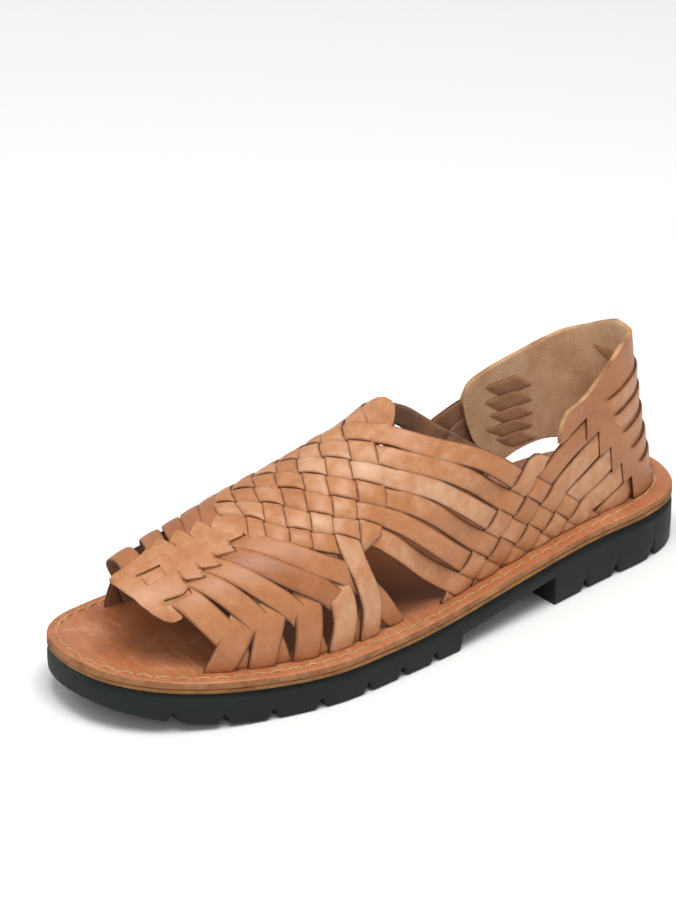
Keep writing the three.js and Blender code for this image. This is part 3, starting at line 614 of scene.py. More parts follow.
def heel_skin(around, height):
    """Point of the last round the heel: mm from the back, outer side positive, and height."""
    side = 0 if around >= 0 else 1
    line, length = FOOT_SIDES[side], FOOT_ROUND[side]
    far = abs(around)
    station = float(np.interp(far, length, line[:, 1]))
    edge = float(np.interp(far, length, line[:, 0]))
    mid = (edge_x(FOOT_SIDES, 1, station) + edge_x(FOOT_SIDES, -1, station)) / 2
    part = clamp(height / curved(RIDGE, station), 0.0, 1.0)
    narrow = math.sqrt(1 - part ** (2 / ROUND)) ** ROUND
    lean = HEEL_LEAN * max(height / LEAN_HEIGHT, 0.0) ** LEAN_CURVE * smooth(1 - station / LEAN_REACH)
    bow = math.sin(math.pi * clamp((height - HOLLOW_FROM) / HOLLOW_HIGH, 0.0, 1.0))
    hollow = HOLLOW * bow * smooth(1 - station / HOLLOW_REACH)
    return np.array([
        mid + (edge - mid) * narrow + MID_SHIFT, LENGTH / 2 - station - lean - hollow,
        insole_top(station) + height,
    ])


def woven_at(table, number, girth):
    """Station of a woven strip at a girth; a number between two strips lies between them."""
    at = int(clamp(math.floor(number), 1, STRIP_COUNT - 1))
    ends = []
    for row in (table[at - 1], table[at]):
        known = list(zip(GIRTHS, row))
        last, before = known[-1], known[-2]
        slope = (last[1] - before[1]) / (last[0] - before[0])
        past = girth - last[0]
        ends.append(last[1] + slope * past if past > 0 else curved(known, girth))
    return lerp(ends[0], ends[1], number - at)


def crossing_girth(band, fore):
    low, high = 0.0, 1.0
    for _ in range(HALVINGS):
        middle = (low + high) / 2
        if woven_at(BANDS, band, middle) > woven_at(FORES, fore, middle):
            low = middle
        else:
            high = middle
    return low


def instep_place(i, j):
    """Place in the instep's weave: i counts the bands of the outer side, j those of the inner."""
    high, low = max(i, j), min(i, j)
    girth = crossing_girth(high, low)
    return skin(woven_at(BANDS, high, girth), math.copysign(girth, i - j))


def quarter_spot(i, k):
    """Distance round the heel and height in the quarter's weave, at band i and heel strip k."""
    return [corner + band * (i - CORNER_AT) + heel * (k - CORNER_AT)
            for corner, band, heel in zip(QUARTER_CORNER, QUARTER_BAND, QUARTER_HEEL)]


def quarter_place(i, k, side):
    around, height = quarter_spot(i, k)
    return heel_skin(around * side, height)


def spline_at(knots, t):
    """Point of a smooth curve through knots that are evenly spaced in t from 0 to 1."""
    knots = np.asarray(knots, float)
    last = len(knots) - 1
    p = clamp(t, 0.0, 1.0) * last
    i = min(int(p), last - 1)
    w = p - i
    p0, p1, p2, p3 = (knots[clamp(i + k, 0, last)] for k in (-1, 0, 1, 2))
    v0, v1 = (p2 - p0) / 2, (p3 - p1) / 2
    return ((2 * p1 - 2 * p2 + v0 + v1) * w ** 3 + (-3 * p1 + 3 * p2 - 2 * v0 - v1) * w ** 2
            + v0 * w + p1)


def heel_path(knots, side):
    """Map of a strip along a curve round the heel: place across it and part of the way."""
    def place(n, t):
        around, height = spline_at(knots, t)
        ahead = spline_at(knots, t + STEPS["short"]) - spline_at(knots, t - STEPS["short"])
        ahead /= np.linalg.norm(ahead)
        wide = n * PATH_PITCH
        return heel_skin((around + wide * ahead[1]) * side, height - wide * ahead[0])

    return place


# Rows of points across a strip


def strip_row(place, number, t, step, width, turned, slant=0.0):
    """Row of points across a strip on its map place(number, t).

    width is in mm, or None for the full pitch of the weave. turned is 0 where the row follows the
    crossing strips and 1 where it is square to the strip. slant, in mm, sets the row askew.
    """
    middle = place(number, t)
    run = place(number, t + step) - place(number, t - step)
    run /= np.linalg.norm(run)
    side = place(number + PITCH_STEP, t) - place(number - PITCH_STEP, t)
    square = side - run * side.dot(run)
    pitch = np.linalg.norm(square) / (2 * PITCH_STEP)
    share = FULL_PITCH if width is None else lerp(FULL_PITCH, width / pitch, turned)
    row = []
    for across, _, _ in SECTION:
        point = place(number + across * share, t)
        row.append(point - run * ((point - middle).dot(run) * turned - slant * across))
    return np.array(row)


def even_rows(rows, lifts):
    """Resample rows along the strip on a smooth curve, at an even spacing."""
    rows = np.array(rows)
    lifts = np.array(lifts, float)
    middle = rows[:, rows.shape[1] // 2]
    steps = np.linalg.norm(np.diff(middle, axis=0), axis=1)
    keep = np.concatenate([[True], steps > ROW_CLOSEST])
    rows, lifts = rows[keep], lifts[keep]
    knots = run_lengths(middle[keep])
    places = np.linspace(0, knots[-1], max(int(knots[-1] / ROW_SPACING), ROW_LEAST) + 1)
    flat = rows.reshape(len(rows), -1)
    packed = np.hstack([flat, lifts.reshape(len(rows), -1)])
    slope = np.gradient(packed, knots, axis=0)
    at = np.clip(np.searchsorted(knots, places, side="right") - 1, 0, len(knots) - 2)
    span = knots[at + 1] - knots[at]
    t = ((places - knots[at]) / span)[:, None]
    span = span[:, None]
    value = ((1 + 2 * t) * (1 - t) ** 2 * packed[at] + t * (1 - t) ** 2 * span * slope[at]
             + t * t * (3 - 2 * t) * packed[at + 1] + t * t * (t - 1) * span * slope[at + 1])
    size = flat.shape[1]
    new_lifts = value[:, size:].reshape((-1,) + lifts.shape[1:])
    return value[:, :size].reshape(-1, rows.shape[1], 3), new_lifts


def facing_out(rows):
    """Unit normals of rows of points, out of the last, and whether they had to be turned."""
    normal = np.cross(np.gradient(rows, axis=0), np.gradient(rows, axis=1))
    normal /= np.linalg.norm(normal, axis=2)[:, :, None]
    turned = np.mean(np.sum(normal * (rows - np.array(LAST_HEART)), axis=2)) < 0
    return (-normal if turned else normal), turned


class Leather:
    """Mesh data of one or more strips, with the values that their material reads."""

    def __init__(self):
        self.points = []
        self.faces = []
        self.slots = []
        self.edge = []
        self.tone = []

    def strip(self, rows, lifts, thickness, tone):
        """Closed strip with a crowned top and rounded edges on rows of points of the last."""
        rows = np.asarray(rows)
        lifts = np.asarray(lifts, float)
        if lifts.ndim == 1:
            lifts = np.repeat(lifts[:, None], rows.shape[1], axis=1)
        normal, turned = facing_out(rows)
        if turned:
            rows, normal, lifts = rows[:, ::-1], normal[:, ::-1], lifts[:, ::-1]
        last = len(SECTION) - 1
        loop = [(c, SECTION[c][1]) for c in range(last + 1)]
        loop += [(c, -SECTION[c][2]) for c in range(last - 1, 0, -1)]
        start = len(self.points)
        for r in range(len(rows)):
            for c, height in loop:
                point = rows[r, c] + normal[r, c] * (lifts[r, c] + thickness / 2 * height)
                self.points.append(point * MM)
                # The edge value darkens the strip's rim, a real burnish, and its lowest few mm by the
                # insole as painted contact shade
                above = point[2] - insole_top(LENGTH / 2 - point[1])
                self.edge.append(max(abs(2 * SECTION[c][0]), 1 - smooth(above / FOOT_SHADE_HEIGHT)))
                self.tone.append(tone)
        self.close(start, len(rows), [c for c, _ in loop])

    def close(self, start, count, loop):
        """Faces between the loops of a strip, and its two ends."""
        size, last = len(loop), len(SECTION) - 1
        for r in range(count - 1):
            for k in range(size):
                a = start + r * size + k
                b = start + r * size + (k + 1) % size
                self.faces.append((a, a + size, b + size, b))
                c0, c1 = loop[k], loop[(k + 1) % size]
                rim = min(c0, c1) == 0 or max(c0, c1) == last
                self.slots.append(CUT if rim else (GRAIN if k < last else FLESH))
        self.faces.append(tuple(start + k for k in range(size)))
        end = start + (count - 1) * size
        self.faces.append(tuple(end + k for k in reversed(range(size))))
        self.slots += [CUT, CUT]

    def make(self, name, materials):
        """One object of all strips so far."""
        mesh = shell(name, self.points, self.faces, materials)
        mesh.polygons.foreach_set("material_index", self.slots)
        mark(mesh, "edge", self.edge)
        mark(mesh, "tone", self.tone)
        outward(mesh)
        return link(name, mesh)


def shell(name, points, faces, materials):
    """Smooth mesh with its materials."""
    mesh = bpy.data.meshes.new(name)
    mesh.from_pydata([tuple(p) for p in points], [], faces)
    for material in materials:
        mesh.materials.append(material)
    mesh.polygons.foreach_set("use_smooth", [True] * len(faces))
    return mesh


def mark(mesh, key, values):
    """Give each point of a mesh a value that a material reads."""
    layer = mesh.attributes.new(key, "FLOAT", "POINT")
    layer.data.foreach_set("value", values)


def outward(mesh):
    """Turn each closed shell of a mesh so that its faces point out."""
    work = bmesh.new()
    work.from_mesh(mesh)
    bmesh.ops.recalc_face_normals(work, faces=work.faces)
    work.to_mesh(mesh)
    work.free()


def link(name, data):
    """New object of the scene with its data."""
    piece = bpy.data.objects.new(name, data)
    bpy.context.scene.collection.objects.link(piece)
    return piece


def baked(piece):
    """Give a piece the plain mesh of its modifiers."""
    graph = bpy.context.evaluated_depsgraph_get()
    mesh = bpy.data.meshes.new_from_object(piece.evaluated_get(graph))
    piece.modifiers.clear()
    piece.data = mesh
    return piece


def plate(name, rows, lift, thickness, materials, holes=(), rim=None, tone=TONES["plate"]):
    """A cut sheet of leather on rows of points, with rounded edges and a raw rim.

    holes has the cells that are left out, each as its row and column. rim has a value for each
    point, 1 where the dark edge colour is painted on as shade.
    """
    rows = np.asarray(rows)
    normal, _ = facing_out(rows)
    points = (rows + normal * np.asarray(lift)[..., None]).reshape(-1, 3) * MM
    count, size = rows.shape[:2]
    faces = []
    for r in range(count - 1):
        for c in range(size - 1):
            a = r * size + c
            if (r, c) not in holes:
                faces.append((a, a + size, a + size + 1, a + 1))
    mesh = shell(name, points, faces, materials)
    mark(mesh, "edge", np.full(len(points), PLAIN_EDGE) if rim is None else np.ravel(rim))
    mark(mesh, "tone", np.full(len(points), tone))
    if mesh.polygons[0].normal.dot(Vector(normal[0, 0])) < 0:
        mesh.flip_normals()
    piece = link(name, mesh)
    solid = piece.modifiers.new("wall", "SOLIDIFY")
    solid.thickness = thickness * MM
    solid.offset = 0.0
    solid.use_even_offset = False
    solid.use_rim = True
    solid.material_offset = FLESH
    solid.material_offset_rim = CUT
    bevel = piece.modifiers.new("edge", "BEVEL")
    bevel.width = SHEET_ROUND * MM
    bevel.segments = 2
    bevel.limit_method = "ANGLE"
    bevel.angle_limit = math.radians(SHEET_ANGLE)
    return baked(piece)


# Materials


def linear(code):
    """Linear colour of an sRGB hex value."""
    out = []
    for at in (1, 3, 5):
        value = int(code[at:at + 2], 16) / 255
        out.append(value / 12.92 if value <= 0.04045 else ((value + 0.055) / 1.055) ** 2.4)
    return (*out, 1.0)


def add(tree, kind, inputs=None, stops=None, **settings):
    """Add a node with its settings, its input values and links, and a ramp's stops."""
    node = tree.nodes.new(kind)
    for key, value in settings.items():
        setattr(node, key, value)
    for key, value in (inputs or {}).items():
        socket = node.inputs[key]
        if isinstance(value, bpy.types.NodeSocket):
            tree.links.new(value, socket)
        else:
            socket.default_value = value
    if stops:
        elements = node.color_ramp.elements
        while len(elements) < len(stops):
            elements.new(0.5)
        for element, (place, colour) in zip(elements, stops):
            element.position = place
            element.color = colour
    return node


def fresh(name):
    """Empty material with a shader on its output."""
    material = bpy.data.materials.get(name) or bpy.data.materials.new(name)
    material.use_nodes = True
    tree = material.node_tree
    tree.nodes.clear()
    shader = add(tree, "ShaderNodeBsdfPrincipled")
    add(tree, "ShaderNodeOutputMaterial", {"Surface": shader.outputs["BSDF"]})
    return material, tree, shader


def dress(tree, shader, links, values):
    """Link sockets to a shader's inputs by their names, and set its uniform values."""
    for name, socket in links.items():
        tree.links.new(socket, shader.inputs[name])
    for name, value in values.items():
        shader.inputs[name].default_value = value


def per(size):
    """Scale of a pattern whose cells have this size in mm."""
    return 1 / (size * MM)


def dyed(key):
    """Linear colour of one of the looks."""
    return linear(getattr(bpy.context.scene.sandal_looks, key))


def strip_leather():
    """Vegetable-tanned cowhide, grain side: waxed, smooth, with fine pores and worn, darker edges.

    The dark edge colour is also painted shade where leather meets the insole and beside the toe plate's
    slits.
    """
    material, tree, shader = fresh("vegetable_tanned_strip_leather")
    spot = add(tree, "ShaderNodeTexCoord").outputs["Object"]
    tone = add(tree, "ShaderNodeAttribute", attribute_name="tone").outputs["Fac"]
    edge = add(tree, "ShaderNodeAttribute", attribute_name="edge").outputs["Fac"]
    # Cloudy dye over 25 mm and mottling over 5 mm
    cloud = add(tree, "ShaderNodeTexNoise", {
        "Vector": spot, "Scale": per(25), "Detail": 3.0, "Roughness": 0.55}).outputs["Fac"]
    mottle = add(tree, "ShaderNodeTexNoise", {
        "Vector": spot, "Scale": per(4.76), "Detail": 4.0, "Roughness": 0.6}).outputs["Fac"]
    dye = add(tree, "ShaderNodeMath", {0: cloud, 1: tone}, operation="ADD").outputs[0]
    dye = add(tree, "ShaderNodeMath", {0: dye, 1: mottle}, operation="ADD").outputs[0]
    shade = add(tree, "ShaderNodeMapRange", {0: dye, 1: 0.8, 2: 2.2}).outputs[0]
    stops = [(0.0, dyed("strip_dark")), (0.5, dyed("strip_colour")), (1.0, dyed("strip_light"))]
    colour = add(tree, "ShaderNodeValToRGB", {"Fac": shade}, stops=stops).outputs["Color"]
    # Burnished rim of the last millimetre, and painted shade where leather meets the insole and along the
    # toe plate's inner teeth
    rim = add(tree, "ShaderNodeMapRange", {0: edge, 1: 0.76, 2: 1.0, 4: 0.82}).outputs[0]
    worn = add(tree, "ShaderNodeMix", {0: rim, 6: colour, 7: dyed("strip_edge")}, data_type="RGBA")
    gloss = add(tree, "ShaderNodeMapRange", {0: mottle, 1: 0.3, 2: 0.7, 3: 0.40, 4: 0.56})
    # Pores of about 0.7 mm, and the fine wrinkles of a bent strip, 2 mm apart
    pores = add(tree, "ShaderNodeTexVoronoi", {"Vector": spot, "Scale": per(0.667)}, feature="F1")
    wrinkle = add(tree, "ShaderNodeTexNoise", {
        "Vector": spot, "Scale": per(1.92), "Detail": 5.0, "Roughness": 0.6}).outputs["Fac"]
    relief = add(tree, "ShaderNodeMath", {0: pores.outputs["Distance"], 1: 0.35, 2: wrinkle},
                 operation="MULTIPLY_ADD").outputs[0]
    bump = add(tree, "ShaderNodeBump", {"Height": relief, "Strength": 0.35, "Distance": 0.25 * MM})
    dress(tree, shader,
          {"Base Color": worn.outputs[2], "Roughness": gloss.outputs[0], "Normal": bump.outputs["Normal"]},
          {"IOR": 1.46, "Coat Weight": 0.14, "Coat Roughness": 0.35})
    return material


def two_tone(name, key, fine, coarse, span, relief, values):
    """Leather or thread between the two tones of a key, by a fine and a coarse noise.

    fine has the fine noise's size along each axis in mm, its detail and its roughness, coarse the
    other noise's size, detail and roughness. span is the range of their sum that the tones take
    up. relief has the strength and the height in mm of the fine noise's bumps.
    """
    material, tree, shader = fresh(name)
    spot = add(tree, "ShaderNodeTexCoord").outputs["Object"]
    near = add(tree, "ShaderNodeMapping", {"Vector": spot, "Scale": [per(size) for size in fine[0]]})
    fibre = add(tree, "ShaderNodeTexNoise", {
        "Vector": near.outputs["Vector"], "Scale": 1.0, "Detail": fine[1],
        "Roughness": fine[2]}).outputs["Fac"]
    patch = add(tree, "ShaderNodeTexNoise", {
        "Vector": spot, "Scale": per(coarse[0]), "Detail": coarse[1],
        "Roughness": coarse[2]}).outputs["Fac"]
    both = add(tree, "ShaderNodeMath", {0: fibre, 1: patch}, operation="ADD").outputs[0]
    shade = add(tree, "ShaderNodeMapRange", {0: both, 1: span[0], 2: span[1]}).outputs[0]
    # The fine noise also sets the bumps' height, so the dark tone lies in their hollows: partly the
    # fibres' own spread, partly painted shade
    stops = [(0.0, dyed(key + "_dark")), (1.0, dyed(key + "_colour"))]
    colour = add(tree, "ShaderNodeValToRGB", {"Fac": shade}, stops=stops).outputs["Color"]
    bump = add(tree, "ShaderNodeBump", {
        "Height": fibre, "Strength": relief[0], "Distance": relief[1] * MM}).outputs["Normal"]
    dress(tree, shader, {"Base Color": colour, "Normal": bump}, values)
    return material


def napped(key):
    """Flesh side: nap of about 0.8 mm, coarser than real so that it shows, in patches of 12 mm."""
    return two_tone(
        NAPPED[key], key, ((0.77, 0.77, 0.77), 6.0, 0.75), (12.5, 4.0, 0.6), (0.7, 1.3), (0.8, 0.6),
        {"Roughness": 0.95, "Sheen Weight": 0.25, "Sheen Roughness": 0.5, "Specular IOR Level": 0.25})


def fibrous(key):
    """Cut edge: fibre bundles of about 0.5 mm, in patches of 8 mm."""
    return two_tone(
        FIBROUS[key], key, ((0.556, 0.556, 0.556), 4.0, 0.7), (8.33, 2.0, 0.5), (0.75, 1.25), (0.7, 0.4),
        {"Roughness": 0.85})


def midsole_leather():
    """Edge of a split leather layer: pale and fuzzy, with fibres in layers of about 0.4 mm."""
    return two_tone(
        "raw_midsole_leather", "midsole", ((3.33, 3.33, 0.417), 5.0, 0.7), (11.1, 3.0, 0.5),
        (0.7, 1.3), (0.8, 0.5), {"Roughness": 0.85})


def waxed_thread():
    """Waxed cotton thread: pale tan, with plies about 0.5 mm apart and soiling over 15 mm."""
    return two_tone(
        "waxed_cotton_thread", "thread", ((0.5, 0.5, 0.5), 2.0, 0.5), (15.4, 3.0, 0.5), (0.7, 1.2),
        (0.5, 0.3), {"Roughness": 0.7})


def insole_leather():
    """Bridle-like insole leather: reddish, polished by hand, with creases and scuffs of wear."""
    material, tree, shader = fresh("polished_insole_leather")
    spot = add(tree, "ShaderNodeTexCoord").outputs["Object"]
    # Clouds of 30 mm, and scuffs of 2 by 11 mm that lie askew
    cloud = add(tree, "ShaderNodeTexNoise", {
        "Vector": spot, "Scale": per(30.3), "Detail": 4.0, "Roughness": 0.6}).outputs
    slant = add(tree, "ShaderNodeMapping", {
        "Vector": spot, "Rotation": (0.0, 0.0, math.radians(SCUFF_TURN)),
        "Scale": (per(11.1), per(2.38), per(11.1))}).outputs["Vector"]
    scuff = add(tree, "ShaderNodeTexNoise", {
        "Vector": slant, "Scale": 1.0, "Detail": 5.0, "Roughness": 0.65,
        "Distortion": 0.6}).outputs["Fac"]
    dye = add(tree, "ShaderNodeMath", {0: cloud["Fac"], 1: scuff}, operation="ADD").outputs[0]
    shade = add(tree, "ShaderNodeMapRange", {0: dye, 1: 0.6, 2: 1.45}).outputs[0]
    stops = [(0.0, dyed("insole_dark")), (0.5, dyed("insole_colour")), (1.0, dyed("insole_light"))]
    colour = add(tree, "ShaderNodeValToRGB", {"Fac": shade}, stops=stops).outputs["Color"]
    # Soft pale creases, in meshes of about 12 mm, that fade in and out with the clouds
    warp = add(tree, "ShaderNodeVectorMath", {0: cloud["Color"], 1: [CREASE_WANDER * MM] * 3, 2: spot},
               operation="MULTIPLY_ADD").outputs[0]
    mesh = add(tree, "ShaderNodeTexVoronoi", {"Vector": warp, "Scale": per(12.5)},
               feature="DISTANCE_TO_EDGE").outputs["Distance"]
    line = add(tree, "ShaderNodeMapRange", {0: mesh, 2: 0.07, 3: 1.0, 4: 0.0}).outputs[0]
    patch = add(tree, "ShaderNodeMapRange", {0: cloud["Fac"], 1: 0.45, 2: 0.62, 4: 0.2}).outputs[0]
    crease = add(tree, "ShaderNodeMath", {0: line, 1: patch}, operation="MULTIPLY").outputs[0]
    creased = add(tree, "ShaderNodeMix", {0: crease, 6: colour, 7: dyed("insole_crease")},
                  data_type="RGBA").outputs[2]
    # Darker where the foot treads
    trodden = add(tree, "ShaderNodeAttribute", attribute_name="trodden").outputs["Fac"]
    worn = add(tree, "ShaderNodeMix", {0: trodden, 6: creased, 7: dyed("insole_worn")},
               data_type="RGBA").outputs[2]
    gloss = add(tree, "ShaderNodeMapRange", {0: scuff, 1: 0.3, 2: 0.7, 3: 0.36, 4: 0.55}).outputs[0]
    # Pores of about 0.8 mm
    pores = add(tree, "ShaderNodeTexVoronoi", {"Vector": spot, "Scale": per(0.77)}, feature="F1")
    relief = add(tree, "ShaderNodeMath", {0: pores.outputs["Distance"], 1: 0.2, 2: scuff},
                 operation="MULTIPLY_ADD").outputs[0]
    bump = add(tree, "ShaderNodeBump", {"Height": relief, "Strength": 0.45, "Distance": 0.6 * MM})
    dress(tree, shader, {"Base Color": worn, "Roughness": gloss, "Normal": bump.outputs["Normal"]},
          {"IOR": 1.46, "Coat Weight": 0.12, "Coat Roughness": 0.3})
    return material


def sole_rubber():
    """Moulded carbon-black rubber with a green cast: matt, faintly cloudy, with a fine mould grain."""
    material, tree, shader = fresh("moulded_sole_rubber")
    spot = add(tree, "ShaderNodeTexCoord").outputs["Object"]
    # Bloom in clouds of 20 mm and a mould grain of 0.8 mm
    cloud = add(tree, "ShaderNodeTexNoise", {
        "Vector": spot, "Scale": per(20), "Detail": 4.0, "Roughness": 0.6}).outputs["Fac"]
    grain = add(tree, "ShaderNodeTexNoise", {
        "Vector": spot, "Scale": per(0.833), "Detail": 3.0, "Roughness": 0.6}).outputs["Fac"]
    shade = add(tree, "ShaderNodeMapRange", {0: cloud, 1: 0.3, 2: 0.7}).outputs[0]
    stops = [(0.0, dyed("rubber_dark")), (1.0, dyed("rubber_colour"))]
    colour = add(tree, "ShaderNodeValToRGB", {"Fac": shade}, stops=stops).outputs["Color"]
    gloss = add(tree, "ShaderNodeMapRange", {0: cloud, 1: 0.3, 2: 0.7, 3: 0.55, 4: 0.7}).outputs[0]
    bump = add(tree, "ShaderNodeBump", {"Height": grain, "Strength": 0.3, "Distance": 0.3 * MM})
    dress(tree, shader, {"Base Color": colour, "Roughness": gloss, "Normal": bump.outputs["Normal"]},
          {"Specular IOR Level": 0.22})
    return material


def leathers():
    """Grain side, flesh side and edge of a strip."""
    return [strip_leather(), napped("flesh"), fibrous("burnish")]


# Settings


def hex_colour(name, value, words):
    return bpy.props.StringProperty(name=name, description=words, default=value)


def distance(name, value, low, high, words):
    return bpy.props.FloatProperty(
        name=name, description=words, default=value * MM, min=low * MM, max=high * MM,
        subtype="DISTANCE", unit="LENGTH", precision=5)


class SandalSizes(bpy.types.PropertyGroup):
    """Sizes of the leather and the stitches, given in mm."""

    strip: distance("Strip", 1.8, 1.0, 2.5, "Thickness of a woven strip")
    weave: distance("Weave", 0.95, 0.3, 1.5, "Lift of a strip where it passes over")
    counter: distance("Counter", 2.0, 1.0, 3.0, "Thickness of the heel counter")
    stitch: distance("Stitch", 7.4, 3.0, 20.0, "Length from stitch to stitch")
    thread: distance("Thread", 0.9, 0.4, 3.0, "Thickness of the thread")
    inset: distance("Stitch inset", 3.7, 2.0, 8.0, "Stitch line, in from the insole's edge")


def sizes_mm(context):
    """The sizes in mm."""
    group = context.scene.sandal_sizes
    return SimpleNamespace(**{key: getattr(group, key) / MM for key in group.__annotations__})


class SandalLooks(bpy.types.PropertyGroup):
    """Colours, as sRGB hex values."""

    # Each dark colour of a nap, an edge, the midsole and the thread lies in the hollows of its bumps, so
    # it is partly painted shade
    strip_colour: hex_colour("Strip", "#B5784B", "Grain side of the strips")
    strip_light: hex_colour("Strip, light", "#D3A786", "Lightest dye of the strips")
    strip_dark: hex_colour("Strip, dark", "#9A5C34", "Darkest dye of the strips")
    # The rim colour is the strips' burnish, and also painted shade at the feet and along the plate's inner
    # teeth
    strip_edge: hex_colour("Strip, rim", "#5E3319", "Burnished rim of the strips")
    # The flesh colours are darker than the nap's own as painted shade, so that the gaps look deep
    flesh_colour: hex_colour("Flesh", "#A97C55", "Nap of the strips' flesh side")
    flesh_dark: hex_colour("Flesh, dark", "#75492C", "Hollows of that nap")
    # The suede colours are the counter's pale nap, lightened further as painted light for its shaded
    # inside
    suede_colour: hex_colour("Suede", "#F6D2A8", "Nap of the counter's flesh side")
    suede_dark: hex_colour("Suede, dark", "#CB9A6E", "Hollows of that nap")
    tail_colour: hex_colour("Strip end", "#C8986F", "Nap of the strip ends inside the counter")
    tail_dark: hex_colour("Strip end, dark", "#9A683F", "Hollows of that nap")
    # The strip edge colours are the waxed edge, darkened further as painted shade for the lines beside the
    # strips
    burnish_colour: hex_colour("Strip edge", "#704224", "Waxed edge of the strips")
    burnish_dark: hex_colour("Strip edge, dark", "#40220F", "Hollows of that edge")
    cut_colour: hex_colour("Cut edge", "#CFA274", "Fibres of a cut edge")
    cut_dark: hex_colour("Cut edge, dark", "#85552F", "Hollows of a cut edge")
    insole_colour: hex_colour("Insole", "#B26D44", "Polished insole")
    insole_light: hex_colour("Insole, light", "#C48B62", "Lightest dye of the insole")
    rim_colour: hex_colour("Insole edge", "#B07C4F", "Cut edge of the insole")
    rim_dark: hex_colour("Insole edge, dark", "#7C4B2A", "Hollows of that edge")
    insole_worn: hex_colour("Insole, trodden", "#7A4A30", "Insole where the foot treads")
    insole_crease: hex_colour("Insole, creases", "#DDB491", "Pale creases of the insole")
    insole_dark: hex_colour("Insole, dark", "#9E5A36", "Darkest dye of the insole")
    midsole_colour: hex_colour("Midsole", "#A9783F", "Raw edge of the midsole")
    midsole_dark: hex_colour("Midsole, dark", "#684022", "Hollows of that edge")
    rubber_colour: hex_colour("Rubber", "#202623", "Bloom on the rubber")
    rubber_dark: hex_colour("Rubber, dark", "#161B19", "Rubber")
    thread_colour: hex_colour("Thread", "#C49C6C", "Waxed thread")
    thread_dark: hex_colour("Thread, dark", "#9C7A50", "Soiled thread")


# Pieces


def ride(piece, slot, *nodes):
    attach(piece, BODY)
    if nodes:
        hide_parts(*nodes)


def stations_with(extra, count):
    """Stations from heel to toe, closer together at both ends, with more at given places."""
    base = [LENGTH * (1 - math.cos(math.pi * k / count)) / 2 for k in range(1, count)]
    far = [s for s in base if all(abs(s - e) > STATIONS_APART for e in extra)]
    return sorted(far + list(extra))


def sole_layer(name, bottom, top, rounding, materials, grow=0.0):
    """A leather layer on the sole's outline, with rounded edges."""
    corners = []
    for k in CORNER_STEPS:
        angle = k * math.pi / 2
        corners.append((rounding * (1 - math.cos(angle)), rounding * (1 - math.sin(angle))))
    loops = []
    for s in stations_with([], LAYER_STATIONS):
        outer = edge_x(SOLE_SIDES, 1, s) + grow
        inner = edge_x(SOLE_SIDES, -1, s) - grow
        fit = min(1.0, (outer - inner) / 2 / (2 * rounding))
        high, low = top(s), bottom(s)
        left, right = outer - rounding * fit, inner + rounding * fit
        loop = [(outer - inset * fit, s, high - drop) for inset, drop in corners]
        loop += [(lerp(left, right, k / LAYER_CELLS), s, high) for k in range(1, LAYER_CELLS)]
        loop += [(inner + inset * fit, s, high - drop) for inset, drop in corners[::-1]]
        loop += [(inner + inset * fit, s, low + drop) for inset, drop in corners]
        loop += [(outer - inset * fit, s, low + drop) for inset, drop in corners[::-1]]
        loops.append(loop)
    return loft(name, loops, materials)


def placed(x, station, height):
    """Place in metres of a point given by x, station and height."""
    return ((x + MID_SHIFT) * MM, (LENGTH / 2 - station) * MM, height * MM)


def loft(name, loops, materials):
    """Closed mesh through loops of x, station and height."""
    size = len(loops[0])
    points = [placed(*point) for loop in loops for point in loop]
    faces = []
    for r in range(len(loops) - 1):
        for k in range(size):
            a = r * size + k
            b = r * size + (k + 1) % size
            faces.append((a, b, b + size, a + size))
    faces.append(tuple(range(size)))
    faces.append(tuple(reversed(range((len(loops) - 1) * size, len(loops) * size))))
    mesh = shell(name, points, faces, materials)
    outward(mesh)
    return link(name, mesh)


def notch_at(station):
    """Part of a notch's height along the tread's edge: steep at the top, wide at the mouth."""
    for place in NOTCHES:
        off = (abs(station - place) - NOTCH_TOP / 2) / (NOTCH_MOUTH - NOTCH_TOP) * 2
        if off < 1:
            return (1 - max(0.0, off)) ** NOTCH_FLARE
    return 0.0


def underside(station):
    """Height of the tread, or of the waist's underside, at a station."""
    part = (station - HEEL_BREAST) / (FORE_STEP - HEEL_BREAST)
    roof = rubber_top(station) - lerp(WAIST_BACK, WAIST_FRONT, clamp(part, 0.0, 1.0))
    back = ramp(station, HEEL_BREAST, BREAST_ROUND)
    front = ramp(station, FORE_STEP, -FORE_ROUND)
    return lerp(tread(station), roof, back * front)


